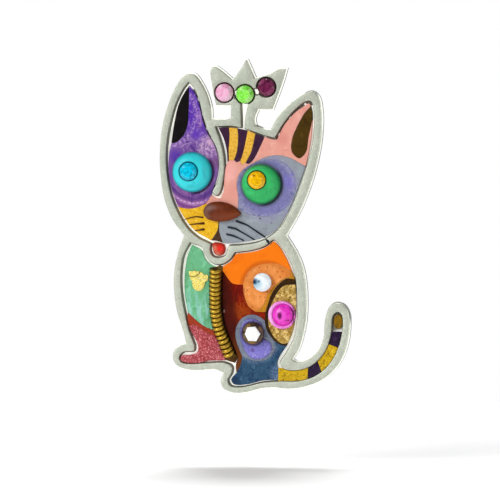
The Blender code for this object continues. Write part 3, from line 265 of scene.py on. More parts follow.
    def bump(self, height, distance):
        """Adds relief of that height in millimetres."""
        node = self.add("Bump", Distance=distance * MM, Strength=1.0)
        self.link(height, node.inputs["Height"])
        if self.normal is not None:
            self.link(self.normal, node.inputs["Normal"])
        self.normal = node.outputs["Normal"]

    def rough(self, mask, low, high):
        """Roughness that runs from low to high with a mask."""
        node = self.add("MapRange", To_Min=low, To_Max=high)
        self.link(mask, node.inputs["Value"])
        self.link(node.outputs["Result"], self.shader.inputs["Roughness"])

    def glow(self, mask, colour):
        """Light given off where the mask is one."""
        self.set("Emission Color", linear(colour))
        self.link(mask, self.shader.inputs["Emission Strength"])

    def done(self):
        if self.colour is not None:
            self.link(self.colour, self.shader.inputs["Base Color"])
        if self.normal is not None:
            self.link(self.normal, self.shader.inputs["Normal"])
        return self.material


ENAMEL = {"Coat_Weight": 0.12, "Coat_Roughness": 0.15, "Specular_IOR_Level": 0.2}
GLASS = {"Coat_Weight": 0.15, "Coat_Roughness": 0.08, "Specular_IOR_Level": 0.3}


def pool(surface, size=2.5, depth=0.05):
    """The slow waves of a poured surface and its finest orange peel."""
    surface.bump(surface.noise(size, 1.0), depth)
    surface.bump(surface.noise(0.35, 2.0), 0.004)
    return surface


def mottled(name, colour, dark, light, size=1.2, roughness=0.28, amount=0.75, warp=0.8):
    """Enamel with cloudy lighter and darker patches."""
    made = Surface(name, colour, roughness, **ENAMEL)
    made.clouds(size, 0.5, 0.33, dark, amount, warp=warp)
    made.clouds(0.8 * size, 0.52, 0.7, light, amount, warp=warp, shift=7.0)
    return pool(made)


def shaded(surface, dome, reach, colour):
    """Painted shadow: a dark crescent to the lower right of a dome."""
    (x, z), _ = node_circle(dome)
    below = surface.slope((1.0, -0.5), x - 0.5 * z + 0.8, x - 0.5 * z + 2.4)
    surface.tint((surface.halo(x, z, reach, 0.4), below), colour, 0.9)


def specks(surface, size, colour, share=0.12, amount=0.8, where=1.0):
    """Scattered dots: cells whose random value falls under the share."""
    picked = surface.spread(surface.chances(size)[0], share, share * 0.8)
    near = surface.spread(surface.cells(size, output="Distance"), 0.42, 0.2)
    surface.tint((picked, near, where), colour, amount)


def glitter(surface, size, dark, light, relief=0.03, amount=0.9):
    """Packed flakes, each with its own tone and tilt."""
    first, second = surface.chances(size)
    surface.tint(surface.spread(first, 0.45, 0.0), dark, amount)
    surface.tint(surface.spread(second, 0.72, 0.95), light, amount)
    surface.bump(surface.cells(size), relief)


def steel(name, colour, low, high, grain, wear, metallic):
    """Worn steel whose roughness runs from low to high."""
    made = Surface(name, colour, low, metallic)
    made.clouds(3.0, 0.42, 0.62, wear, 0.35, 5.0, warp=0.4)
    made.rough(made.noise(1.4, 4.0, 0.6), low, high)
    made.bump(made.noise(grain, 3.0, 0.6), 0.012)
    return made


def satin_frame():
    """Cast frame: pebbled satin metal, with painted shade round the crown's stones."""
    made = steel("satin_frame", (200, 205, 190), 0.5, 0.62, 0.2, (176, 184, 168), 0.7)
    made.clouds(0.5, 0.5, 0.66, (222, 226, 212), 0.5, rough=0.7)
    made.clouds(0.25, 0.5, 0.36, (170, 172, 156), 0.5, rough=0.7, shift=3.0)
    # Painted shade round each of the crown's stone seats.
    for seat in CROWN_SEATS:
        made.dab(seat, 1.66, 1.8, (96, 60, 62), 0.7)
    made.bump(made.noise(1.1, 3.0), 0.05)
    return made


# Places and sizes of the parts of the plate's edge that get painted shade instead of the painted glow.
SHADED_GAP_SPOTS = [
    (-4.2, 16.1, 1.5), (0.4, 15.3, 1.3), (2.9, 14.3, 1.2), (4.9, 16.3, 1.6), (6.9, 18.9, 1.7),
    (9.2, 20.9, 1.4), (-9.9, 21.4, 0.9), (-9.1, 19.2, 1.2), (-8.5, 16.9, 1.1), (-7.8, 14.8, 0.8),
    (13.0, -13.8, 3.4),
]


def bright_plate():
    """Polished plate: its front has a painted glow in the slots and beside the enamel, and painted shade
    under the crown's stones and at the shaded gap spots.
    """
    made = steel("bright_plate", (168, 171, 170), 0.34, 0.5, 0.12, (138, 141, 142), 0.55)
    made.clouds(0.35, 0.42, 0.62, (190, 192, 190), 0.5, 3.0, stretch=(0.12, 1, 1))
    front = made.depth(0.7, 0.78)
    made.tint(front, (250, 249, 242))
    # The painted glow: light given off by the plate's front, though it is no lamp.
    painted_glow = front
    for seat in CROWN_SEATS:
        painted_glow = made.times(painted_glow, made.flipped(made.spot(*seat, 1.5, 1.66)))
        # Painted shade under each crown stone.
        made.tint((front, made.spot(*seat, 1.5, 1.68)), (84, 36, 50), 0.95)
    for x, z, size in SHADED_GAP_SPOTS:
        gap_shade = made.spot(x, z, 0.8 * size, size)
        painted_glow = made.times(painted_glow, made.flipped(gap_shade))
        # Painted shade in the gaps that lie in the frame's shadow.
        made.tint((front, gap_shade), (150, 150, 140), 0.8)
    # The painted glow is strongest up in the crown's slots.
    strength = made.math("ADD", 0.5, made.math("MULTIPLY", made.slope(UP, 15.2, 16.6), 0.28))
    made.glow(made.times(painted_glow, strength), (255, 254, 246))
    return made


def shaded_wall():
    """The windows' walls, in steel darkened as painted shade."""
    return steel("shaded_wall", (146, 145, 130), 0.6, 0.7, 0.2, (116, 114, 102), 0.4)


def finding_steel():
    """Drawn steel of the bar, its rivet, stem and catch."""
    made = steel("finding_steel", (196, 198, 198), 0.24, 0.4, 1.2, (164, 166, 166), 0.7)
    made.clouds(0.5, 0.52, 0.66, (214, 215, 212), 0.4, rough=0.65)
    return made


def collar_brass():
    made = Surface("collar_brass", (206, 178, 104), 0.26, 1.0)
    made.clouds(0.9, 0.5, 0.32, (150, 122, 60), 0.7, 5.0, 0.65)
    made.rough(made.noise(0.6, 3.0), 0.208, 0.39)
    made.bump(made.noise(0.12, 3.0), 0.006)
    return made


def coil_brass():
    """Olive brass, with painted shade where a turn dips back between its neighbours."""
    made = Surface("coil_brass", (200, 162, 48), 0.4, 0.6)
    made.clouds(0.9, 0.5, 0.32, (112, 84, 16), 0.6, 5.0, 0.65)
    # Painted shade: the wire is darker the further back it lies.
    made.tint(made.flipped(made.depth(2.15, 2.72)), (70, 48, 4), 0.85)
    made.rough(made.noise(0.6, 3.0), 0.26, 0.46)
    made.bump(made.noise(0.12, 3.0), 0.006)
    return made


def violet():
    """Marbled violet: deep in the ear, pale streaks that swirl round the eye, rosy below."""
    made = Surface("violet", (122, 84, 158), 0.28, **ENAMEL)
    eye = (-10.1, 8.7)
    foot = (-9.9, 8.7)
    lower = made.slope(DOWN, -9.2, -6.2)
    made.fade(UP, 12.4, 17.5, (84, 38, 174), 0.85)
    made.fade((-0.3, -1.0), -3.4, -0.6, (168, 112, 160), 0.7)
    made.clouds(1.6, 0.5, 0.36, (74, 36, 130), 0.75, 6.0, 0.68, warp=1.0, stretch=(1, 1, 0.55))
    grain = made.patches(0.9, 0.52, 0.64, 6.0, 0.74, warp=1.2, stretch=(1.2, 1, 0.6), shift=4.0)
    made.tint((grain, made.slope(UP, 9.5, 12.5)), (182, 146, 202), 0.75)
    pale = made.spread(made.swirl(*eye, 0.5, 0.7, 5.0), 0.52, 0.66)
    made.tint((made.spot(*eye, 5.2, 7.6), pale), (196, 156, 206), 0.5)
    made.dab((-12.9, 11.2), 0.3, 1.7, (76, 38, 172), 0.7)
    made.dab((-9.5, 14.9), 0.2, 1.5, (96, 54, 190), 0.6)
    fine = made.patches(0.4, 0.44, 0.58, 5.0, 0.7, warp=0.8, shift=2.0)
    made.tint((made.spot(-7.5, 12.9, 0.8, 2.6), fine), (220, 182, 208), 0.8)
    made.tint((made.halo(-15.3, 18.2, 5.6, 0.6), fine), (192, 156, 212), 0.8)
    made.tint((made.spot(-9.2, 17.2, 0.3, 1.6, (1.6, 0.6)), fine), (190, 140, 200), 0.6)
    made.tint((made.halo(*eye, 4.3, 0.8), lower), (72, 38, 120), 0.75)
    made.tint((made.halo(*foot, 5.05, 0.3), lower, fine), (214, 172, 222), 0.95)
    made.tint((made.halo(*foot, 5.7, 0.5), lower), (112, 50, 128), 0.75)
    made.dab((-6.5, 10.2), 0.3, 1.4, (116, 78, 118), 0.7)
    shaded(made, "turquoise_eye_dome", 3.45, (26, 14, 44))
    return pool(made)


def pink():
    made = mottled("pink", (236, 164, 148), (222, 144, 130), (248, 186, 174), 2.0, amount=0.6)
    made.dab((-4.0, 9.0), 0.4, 2.4, (250, 180, 176), 0.6)
    made.dab((-3.3, 5.6), 0.2, 2.0, (228, 150, 142), 0.5)
    made.dab((4.6, 14.2), 0.3, 1.6, (218, 134, 126), 0.5)
    return made


def grey():
    made = mottled("grey", (150, 157, 165), (132, 136, 146), (168, 180, 186), 1.6, amount=0.6)
    made.tint((made.spot(1.9, 6.3, 4.9, 6.3), made.patches(0.4, 0.42, 0.6, rough=0.7)), (146, 140, 184), 0.75)
    specks(made, 0.7, (110, 100, 120), 0.05, 0.5)
    made.dab((0.95, 1.3), 0.08, 0.2, (70, 40, 30), 0.9)
    return made


def lilac():
    """Speckled lilac, shaded round the green eye and fading to grey outside."""
    made = mottled("lilac", (124, 122, 174), (100, 100, 146), (150, 142, 196), 0.9, amount=0.7)
    made.dab((1.3, 6.8), 3.3, 4.0, (80, 88, 108), 0.75)
    made.dab((5.9, 7.4), 0.3, 1.8, (128, 116, 204), 0.6)
    outside = made.flipped(made.spot(1.9, 6.3, 3.9, 4.95))
    made.tint((outside, made.patches(0.4, 0.4, 0.58, rough=0.7)), (156, 158, 180), 0.85)
    specks(made, 0.3, (170, 164, 208), 0.2, 0.5)
    shaded(made, "green_eye_dome", 3.4, (24, 40, 40))
    return made


def muzzle():
    made = mottled("muzzle", (238, 184, 30), (214, 152, 22), (250, 204, 62), 0.8, amount=0.7)
    glitter(made, 0.2, (214, 150, 24), (255, 216, 90), 0.006, 0.45)
    return made


def nose():
    made = Surface("nose", (112, 46, 14), 0.42, **ENAMEL)
    made.clouds(1.0, 0.5, 0.35, (86, 32, 10), 0.7, 3.0, 0.5, warp=0.5)
    made.fade((0.5, -1.0), -5.2, -2.6, (142, 64, 20), 0.5)
    # Painted highlight: a greyish sheen along the nose's left rim.
    made.fade((-1.0, 0.1), 6.9, 8.3, (112, 84, 72), 0.7)
    return pool(made, 1.4, 0.03)


def tongue():
    made = Surface("tongue", (196, 56, 36), 0.3, **ENAMEL)
    made.dab((-5.5, -3.6), 0.2, 0.9, (246, 44, 34), 0.9)
    made.dab((-6.6, -3.7), 0.1, 0.8, (214, 120, 90), 0.8)
    made.dab((-6.0, -4.7), 0.1, 0.8, (226, 150, 120), 0.6)
    return pool(made, 1.0, 0.02)


def mint():
    made = mottled("mint", (110, 186, 136), (82, 152, 106), (140, 214, 170), 1.6, amount=0.7)
    made.fade((-1.0, 0.1), 9.8, 11.3, (96, 146, 104), 0.8)
    specks(made, 0.28, (92, 160, 122), 0.2, 0.4)
    streaks = made.patches(0.7, 0.48, 0.62, stretch=(1, 1, 0.22))
    made.tint((made.slope(DOWN, 9.5, 13.0), streaks), (158, 212, 206), 0.75)
    return made


def leaf():
    """Beaten gold scrap with dark creases."""
    made = Surface("leaf", (252, 232, 116), 0.42, 0.3)
    made.clouds(0.8, 0.5, 0.68, (255, 246, 186), 0.8, warp=1.5)
    made.tint(made.veins(0.9, 0.028, 2.0, 3.0), (96, 70, 20), 0.9)
    made.tint((made.halo(-10.2, -6.9, 1.35, 0.16), made.patches(0.6, 0.4, 0.48, 3.0, 0.5)), (60, 44, 16), 0.9)
    made.bump(made.noise(0.55, 4.0, 0.62, 1.6), 0.12)
    return made


def paw():
    made = Surface("paw", (178, 74, 80), 0.3, **ENAMEL)
    made.clouds(0.8, 0.5, 0.34, (150, 50, 54), 0.7)
    glitter(made, 0.13, (124, 30, 38), (238, 150, 156), 0.02)
    return pool(made)


def burgundy():
    """Molten brown and red: dark beside the coil, glowing towards the peach disc."""
    made = Surface("burgundy", (122, 16, 0), 0.24, **ENAMEL)
    made.clouds(0.8, 0.5, 0.36, (62, 6, 2), 0.8, 5.0, warp=0.6, stretch=(1, 1, 0.3))
    made.clouds(0.5, 0.5, 0.66, (156, 38, 4), 0.75, warp=0.4, stretch=(1, 1, 0.35), shift=6.0)
    ember = made.patches(0.9, 0.38, 0.58, 5.0, 0.62, warp=1.4)
    made.tint((made.spot(-1.9, -13.6, 0.6, 3.0), ember), (164, 66, 4), 0.85)
    made.tint((made.spot(-4.4, -8.6, 0.2, 1.6), ember), (182, 56, 4), 0.75)
    made.fade((-1.0, -0.15), 4.3, 5.9, (64, 10, 2), 0.84)
    made.fade((0.25, -1.0), 16.2, 19.6, (116, 60, 10), 0.8)
    made.fade((0.1, -1.0), 21.4, 23.4, (100, 52, 8), 0.8)
    specks(made, 0.5, (176, 140, 128), 0.02, 0.8)
    return pool(made)


def coil_shade_bed():
    """A dark sheet under the coil that stands in for painted shade beneath and beside it, lighter gold at the
    coil's two ends.
    """
    made = mottled("coil_shade_bed", (58, 38, 8), (34, 20, 4), (104, 72, 20), 0.7, 0.4)
    made.fade(UP, -7.5, -7.0, (132, 104, 34), 0.75)
    made.fade(DOWN, 20.6, 21.4, (110, 70, 16), 0.8)
    return made


def orange():
    made = mottled("orange", (250, 124, 10), (238, 106, 6), (254, 140, 28), 2.2, amount=0.5)
    made.tint(made.halo(*PEACH_MIDDLE, 4.05, 0.7), (204, 92, 10), 0.75)
    return made


def peach():
    made = mottled("peach", (238, 148, 74), (218, 126, 52), (252, 172, 104), 1.2, amount=0.6)
    made.edge(PEACH_MIDDLE, 3.2, 4.0, (206, 112, 32), 0.6)
    specks(made, 0.42, (166, 66, 36), 0.24, 0.8)
    specks(made, 0.26, (204, 110, 54), 0.26, 0.7)
    specks(made, 0.3, (255, 206, 160), 0.08, 0.6)
    return made


def mica():
    made = Surface("mica", (194, 156, 76), 0.32, 0.3, **ENAMEL)
    glitter(made, 0.4, (132, 98, 26), (255, 224, 148), 0.07)
    glitter(made, 0.17, (158, 122, 42), (246, 208, 124), 0.03)
    made.clouds(0.9, 0.46, 0.34, (146, 118, 40), 0.5)
    return pool(made)


def blue():
    """Cloudy blue, hazed beside the bubble's rim and at the tail."""
    made = Surface("blue", (42, 78, 108), 0.28, **ENAMEL)
    made.clouds(1.1, 0.52, 0.36, (16, 48, 86), 0.9, 6.0, 0.68, warp=1.2)
    made.clouds(0.8, 0.54, 0.7, (86, 128, 150), 0.75, 6.0, 0.68, warp=1.2, shift=4.0)
    haze = made.patches(0.35, 0.36, 0.56, rough=0.7)
    made.tint((made.spot(0.1, -18.1, 3.5, 4.7), haze), (112, 132, 158), 0.7)
    made.tint((made.spot(3.8, -24.0, 0.3, 1.7, (1.0, 0.7)), haze), (120, 142, 180), 0.65)
    made.dab((-3.2, -25.2), 0.2, 1.2, (22, 44, 74), 0.8)
    return pool(made)


def bubble():
    """Speckled violet drop, dark round the cup, pale flecks along its foot."""
    made = Surface("bubble", (114, 112, 180), 0.3, **ENAMEL)
    made.clouds(0.6, 0.5, 0.36, (80, 68, 142), 0.8)
    made.fade((0.1, -1.0), 18.6, 20.6, (130, 120, 206), 0.8)
    made.dab((-0.25, -20.1), 0.1, 0.5, (92, 66, 138), 0.8)
    made.dab(CUP, 1.85, 2.3, (76, 66, 104), 0.85)
    specks(made, 0.24, (206, 204, 240), 0.5, 0.8, made.flipped(made.spot(0.1, -18.0, 2.2, 3.1)))
    specks(made, 0.2, (176, 170, 228), 0.2, 0.5)
    return pool(made)


def rim():
    made = mottled("rim", (120, 128, 144), (92, 96, 116), (150, 158, 170), 0.8, amount=0.7)
    specks(made, 0.22, (166, 170, 188), 0.3, 0.5)
    return made


def gold_paint(name, colour, dark, light, cracks):
    """Gold enamel with fine brown stipple and perhaps rusty cracks."""
    made = mottled(name, colour, dark, light, 0.7, amount=0.7)
    if cracks:
        made.tint(made.veins(1.0, 0.022, 2.0), (190, 88, 16), cracks)
    specks(made, 0.24, dark, 0.4, 0.75)
    specks(made, 0.22, light, 0.25, 0.6)
    return made


def eye_enamel(name, colour, dark, light, dome, stone):
    """A cast dome, shaded round its foot and in the ring of its stone."""
    made = mottled(name, colour, dark, light, 1.6, 0.42, 0.3)
    centre, reach = node_circle(dome)
    made.edge(centre, reach * 0.84, reach, dark, 0.8)
    made.dab(node_circle(stone)[0], 1.56, 1.76, dark, 0.8)
    return made


def glass(name, colour, dark, light, crackle):
    """Foil-backed glass, crackled inside."""
    made = Surface(name, colour, 0.2, **GLASS)
    made.clouds(0.5, 0.52, 0.36, dark, 0.75, rough=0.7, warp=0.5)
    made.clouds(0.4, 0.52, 0.68, light, 0.75, rough=0.7, warp=0.5, shift=9.0)
    made.tint(made.spread(made.cells(crackle, "DISTANCE_TO_EDGE", "Distance", False), 0.06, 0.0), dark, 0.6)
    return made


def crown_glass(name, colour, dark, light, centre):
    """A small cut stone: painted reflections as wedges of light and dark tone in two bands, and painted shade
    at the girdle.
    """
    made = glass(name, colour, dark, light, 0.6)
    inner = made.spot(*centre, 0.75, 0.85)
    outer = made.flipped(inner)
    # Painted reflections: each facet wedge lighter or darker.
    facet_glint = made.wedges(*centre, 14)
    made.tint((made.spread(facet_glint, 0.55, 1.0), outer), dark, 0.8)
    made.tint((made.spread(facet_glint, 0.4, 0.0), outer), light, 0.8)
    made.tint((made.spread(made.wedges(*centre, 8, 0.5, 40.0), 0.5, 1.0), inner), dark, 0.45)
    # Painted shade round the stone's girdle.
    made.edge(centre, 1.36, 1.5, dark, 0.7)
    return made


def eye_glass(name, colour, dark, light, stone, flaw=None):
    """A round stone with crumbled foil behind it, a dark girdle and perhaps a scratched flaw."""
    made = glass(name, colour, dark, light, 0.55)
    if flaw:
        made.dab(flaw, 0.1, 0.45, (150, 82, 0), 0.85, (1.0, 1.7))
    made.tint(made.veins(0.7, 0.022, 2.0), dark, 0.7)
    made.edge(node_circle(stone)[0], 1.3, 1.5, dark, 0.8)
    return made


def clear_crystal():
    """Clear stone with an ink-blue blot off its middle."""
    made = glass("clear_crystal", (246, 252, 255), (222, 236, 246), (255, 255, 255), 0.9)
    made.dab((0.5, -9.3), 0.3, 1.3, (150, 200, 224), 0.75)
    made.dab((0.25, -8.9), 0.2, 0.8, (30, 92, 132), 0.95)
    made.dab((0.15, -8.95), 0.1, 0.5, (12, 34, 62), 0.9)
    made.dab((0.95, -8.86), 0.08, 0.32, (40, 96, 136), 0.9)
    made.edge(CLEAR_STONE, 1.46, 1.54, (72, 48, 50), 0.9)
    return made


def hex_crystal():
    return glass("hex_crystal", (254, 254, 252), (246, 242, 236), (255, 255, 255), 0.9)


def cup_gold():
    """Dark gold claws with a painted reflection, lighter or darker, on each facet."""
    made = Surface("cup_gold", (136, 114, 86), 0.34, 0.6)
    # Painted reflections: a light or dark tone for each facet.
    facet_glint = made.wedges(*CUP, 12, 0.5)
    made.tint(made.spread(facet_glint, 0.5, 0.9), (52, 34, 26), 0.9)
    made.tint(made.spread(facet_glint, 0.4, 0.1), (176, 136, 66), 0.85)
    made.fade((1.0, -0.3), 5.2, 6.6, (110, 104, 108), 0.6)
    made.edge(CUP, 1.6, 1.8, (38, 26, 24), 0.8)
    return made


def magenta_glass():
    """Hot pink stone with a dark pit and a shadowed, chipped right edge."""
    made = glass("magenta_glass", (236, 54, 198), (212, 30, 168), (248, 92, 224), 0.9)
    # Painted reflections: some facet wedges darker.
    made.tint(made.spread(made.wedges(4.9, -14.3, 9), 0.5, 1.0), (216, 34, 176), 0.6)
    made.dab((4.45, -14.35), 0.7, 1.2, (248, 104, 226), 0.5)
    made.dab((4.35, -14.4), 0.25, 0.7, (104, 6, 76), 0.95, (1.4, 0.8))
    made.tint((made.halo(4.7, -14.35, 1.85, 0.3), made.slope(RIGHT, 5.5, 6.2)), (84, 8, 64), 0.95)
    made.dab((5.6, -15.15), 0.1, 0.3, (120, 10, 90), 0.8, (0.5, 1.6))
    return made


def bezel_pink():
    """Pink bezel, pale on its left and marked dark on its right edge."""
    made = glass("bezel_pink", (244, 134, 226), (226, 100, 204), (252, 190, 246), 1.4)
    made.fade(LEFT, -3.9, -2.6, (252, 196, 246), 0.8)
    made.tint((made.slope(RIGHT, 6.1, 6.7), made.patches(0.5, 0.4, 0.5, 3.0, 0.5)), (122, 28, 96), 0.85)
    return made


PATTERNED = (
    satin_frame, bright_plate, shaded_wall, finding_steel, collar_brass, coil_brass, cup_gold, violet, pink, grey,
    lilac, muzzle, nose, tongue, mint, leaf, paw, burgundy, coil_shade_bed, orange, peach, mica, blue, bubble, rim,
    clear_crystal, hex_crystal, magenta_glass, bezel_pink,
)
MATERIALS = {make.__name__: make().done() for make in PATTERNED}

for look, colour, dark, light, size, amount in (
    ("black_ear", (14, 8, 10), (6, 4, 4), (28, 20, 26), 1.4, 0.75),
    ("black_crescent", (50, 30, 2), (28, 16, 0), (78, 50, 4), 0.9, 0.75),
    ("whisker_black", (34, 40, 50), (20, 24, 30), (56, 62, 72), 0.5, 0.75),
    ("whisker_brown", (76, 30, 0), (54, 18, 0), (102, 50, 0), 0.5, 0.75),
    ("olive", (74, 52, 6), (52, 36, 4), (98, 72, 16), 1.1, 0.75),
    ("plum", (60, 32, 58), (44, 20, 52), (80, 48, 66), 0.8, 0.7),
    ("tail_plum", (36, 18, 50), (16, 6, 34), (68, 42, 84), 0.8, 0.7),
    ("mouth", (74, 50, 34), (46, 26, 14), (104, 84, 66), 0.8, 0.7),
    ("red_band", (162, 58, 32), (134, 40, 20), (186, 84, 54), 0.8, 0.7),
    ("amber", (192, 128, 22), (162, 100, 16), (212, 148, 36), 0.9, 0.7),
):
    MATERIALS[look] = mottled(look, colour, dark, light, size, amount=amount).done()

for make, look, *rest in (
    (gold_paint, "gold_stripe", (240, 188, 68), (206, 144, 40), (252, 208, 92), 0.7),
    (gold_paint, "tail_gold", (208, 168, 16), (112, 82, 0), (246, 206, 56), 0.0),
    (gold_paint, "tail_tip", (132, 96, 10), (88, 62, 4), (174, 130, 26), 0.0),
    (eye_enamel, "turquoise", (56, 218, 226), (24, 122, 142), (80, 232, 238), "turquoise_eye_dome",
     "aqua_stone"),
    (eye_enamel, "green", (52, 190, 104), (26, 110, 60), (72, 204, 112), "green_eye_dome", "yellow_stone"),
    (eye_glass, "aqua_glass", (0, 214, 246), (0, 124, 162), (0, 236, 255), "aqua_stone"),
    (eye_glass, "yellow_glass", (255, 202, 0), (206, 132, 0), (255, 222, 30), "yellow_stone", (0.32, 8.34)),
    (crown_glass, "pink_glass", (255, 192, 224), (240, 156, 196), (255, 216, 238), CROWN_SEATS[0]),
    (crown_glass, "green_glass", (152, 255, 90), (112, 224, 62), (198, 255, 160), CROWN_SEATS[1]),
    (crown_glass, "amethyst_glass", (118, 30, 76), (76, 12, 48), (148, 58, 104), CROWN_SEATS[2]),
):
    MATERIALS[look] = make(look, *rest).done()

NODE_LOOKS = {
    "black_ear": "black_ear", "violet_field": "violet", "yellow_muzzle": "muzzle", "mouth_line": "mouth",
    "grey_cheek": "grey", "lilac_ring": "lilac", "pink_face": "pink", "olive_ear": "olive",
    "plum_stripe_left": "plum", "plum_stripe_middle": "plum", "plum_stripe_right": "plum",
    "gold_stripe_left": "gold_stripe", "gold_stripe_right": "gold_stripe", "mint_flank": "mint",
    "red_band": "red_band", "red_paw": "paw", "orange_shoulder": "orange", "burgundy_flank": "burgundy",
    "peach_disc": "peach", "amber_border": "amber", "black_crescent": "black_crescent",
    "gold_mica": "mica", "bubble_rim": "rim", "blue_haunch": "blue", "tail_gold_root": "tail_gold",
    "tail_plum_root": "tail_plum", "tail_gold_middle": "tail_gold", "tail_plum_middle": "tail_plum",
    "tail_tip": "tail_tip",
}

# ---------------------------------------------------------------- shapes

ROUND_STEPS = 72


def flat_vertices(node):
    """A node's vertices in millimetres."""
    return np.array([vertex.co for vertex in NODES[node].data.vertices]) / MM


def front_loops(node, depth):
    """Closed loops of the flat front cap at a depth, as lists of (x, z) in millimetres."""
    points = flat_vertices(node)
    keys = [tuple(np.round(point, 3)) for point in points]
    places = {}
    edges = {}
    for polygon in NODES[node].data.polygons:
        corners = [keys[vertex] for vertex in polygon.vertices]
        for key, vertex in zip(corners, polygon.vertices):
            places.setdefault(key, points[vertex])
        if any(abs(key[1] + depth) > 0.01 for key in corners):
            continue
        edges.update(((a, b), True) for a, b in zip(corners, corners[1:] + corners[:1]))
    border = {a: b for a, b in edges if (b, a) not in edges}
    loops = []
    while border:
        start = next(iter(border))
        loop = [start]
        step = border.pop(start)
        while step != start:
            loop.append(step)
            step = border.pop(step)
        loops.append(np.array([(places[key][0], places[key][2]) for key in loop]))
    return loops


def level_outline(node, depth):
    """The points of a node's mesh at a depth, in order round their middle."""
    points = flat_vertices(node)
    level = points[np.abs(points[:, 1] + depth) < 0.02]
    outline = np.unique(np.round(level[:, [0, 2]], 3), axis=0)
    across, along = (outline - outline.mean(0)).T
    return outline[np.argsort(np.arctan2(along, across))]


def area(loop):
    """A loop's area, negative where the loop runs clockwise."""
    x, z = loop[:, 0], loop[:, 1]
    return 0.5 * float(np.sum(x * np.roll(z, -1) - np.roll(x, -1) * z))


def resampled(loop, spacing):
    """The loop with its long sides divided; counter-clockwise."""
    if area(loop) < 0:
        loop = loop[::-1]
    out = []
    for a, b in zip(loop, np.roll(loop, -1, axis=0)):
        parts = max(1, math.ceil(np.linalg.norm(b - a) / spacing))
        out.extend(a + (b - a) * step / parts for step in range(parts))
    return np.array(out)


def outward(loop):
    """Unit normals that point out of a counter-clockwise loop."""
    along = np.roll(loop, -1, axis=0) - loop
    along /= np.linalg.norm(along, axis=1)[:, None]
    both = along + np.roll(along, 1, axis=0)
    length = np.linalg.norm(both, axis=1)[:, None]
    both = np.where(length > 1e-6, both / np.maximum(length, 1e-6), along)
    return np.stack([both[:, 1], -both[:, 0]], axis=1)


def distances(points, loop):
    """How far each point is from a closed loop."""
    a = loop[None, :, :]
    side = np.roll(loop, -1, axis=0)[None, :, :] - a
    gap = points[:, None, :] - a
    share = np.clip((gap * side).sum(2) / np.maximum((side * side).sum(2), 1e-12), 0, 1)
    return np.linalg.norm(gap - side * share[:, :, None], axis=2).min(1)


def inside(points, loop):
    """Which points lie within a closed loop."""
    x, z = points[:, 0][:, None], points[:, 1][:, None]
    ax, az = loop[:, 0][None], loop[:, 1][None]
    bx, bz = np.roll(loop[:, 0], -1)[None], np.roll(loop[:, 1], -1)[None]
    rising = (az > z) != (bz > z)
    slope = np.where(np.abs(bz - az) < 1e-12, 1e-12, bz - az)
    crossing = x < ax + (z - az) * (bx - ax) / slope
    return (rising & crossing).sum(1) % 2 == 1


def neighbours(first, count):
    """Pairs of neighbours round a loop whose first point has that number."""
    return [(first + step, first + (step + 1) % count) for step in range(count)]


def band(one, two, count):
    """Four-sided faces between two loops that start at those numbers."""
    return [(one + a, one + b, two + b, two + a) for a, b in neighbours(0, count)]


def triangulated(points, border, close):
    """Flat points and the triangles between them that keep to the border."""
    flat, _, faces, *_ = delaunay_2d_cdt([Vector(point) for point in points], border, [], 1, close)
    return np.array(flat), [tuple(face) for face in faces]


def add_mesh(name, points, faces, look, smooth=True):
    """A mesh from points in millimetres, riding on the badge."""
    mesh = bpy.data.meshes.new(name)
    mesh.from_pydata([Vector(point) * MM for point in points], [], faces)
    shape = bmesh.new()
    shape.from_mesh(mesh)
    bmesh.ops.recalc_face_normals(shape, faces=shape.faces)
    shape.to_mesh(mesh)
    shape.free()
    mesh.materials.append(MATERIALS[look])
    for polygon in mesh.polygons:
        polygon.use_smooth = smooth
    item = bpy.data.objects.new(name, mesh)
    SCENE.collection.objects.link(item)
    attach(item, "badge")
    return item


def stand_for(item, node):
    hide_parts(node)


# A poured outline has rings of points inside it, at shares of its lip's width, and levels off at the reach.
OUTLINE_STEP = 0.22
LIP_RINGS = (0.3, 0.7, 1.3, 2.2)
CROWN_REACH = 1.2


def poured(name, node, look, drop, rise, lip_width, spread=0.0, spacing=0.42):
    """A poured pool with the node's outline: a rounded lip that climbs to a soft crown."""
    base, top = node_depths(node)
    loop = resampled(front_loops(node, top)[0], OUTLINE_STEP)
    loop = loop + outward(loop) * spread
    normal = outward(loop)
    points = [loop]
    for share in LIP_RINGS:
        depth = share * lip_width
        inner = loop - normal * depth
        points.append(inner[inside(inner, loop) & (distances(inner, loop) > 0.93 * depth)])
    low, high = loop.min(0), loop.max(0)
    rows = np.arange(low[1], high[1], spacing * 0.87)
    grid = np.array([(x + (row % 2) * spacing / 2, z) for row, z in enumerate(rows)
                     for x in np.arange(low[0], high[0], spacing)])
    clear_of_lip = distances(grid, loop) > LIP_RINGS[-1] * lip_width + 0.5 * spacing
    points.append(grid[inside(grid, loop) & clear_of_lip])
    count = len(loop)
    flat, faces = triangulated(np.vstack(points), neighbours(0, count), 1e-6)
    faces = [face for face in faces if inside(flat[list(face)].mean(0)[None], loop)[0]]
    far = distances(flat, loop)
    far[:count] = 0
    lip = 1 - (1 - np.clip(far / lip_width, 0, 1)) ** 2
    crown = 1 - np.exp(-far / CROWN_REACH)
    heights = top - drop + drop * np.sqrt(np.clip(lip, 0, 1)) + rise * crown
    vertices = [(x, -height, z) for (x, z), height in zip(flat, heights)]
    bottom = len(vertices)
    vertices.extend((x, -base, z) for x, z in flat[:count])
    floor = tuple(range(bottom + count - 1, bottom - 1, -1))
    item = add_mesh(name, vertices, faces + band(0, bottom, count) + [floor], look)
    for polygon in item.data.polygons[len(faces):]:
        polygon.use_smooth = False
    stand_for(item, node)


def add_enamels():
    for node, look in NODE_LOOKS.items():
        poured(node + "_pour", node, look, 0.05, 0.015, 0.1, 0.017)
    # The dark sheet under the coil is painted shade.
    poured("coil_bed_pour", "coil_bed", "coil_shade_bed", 0.04, 0.0, 0.1, 0.017)


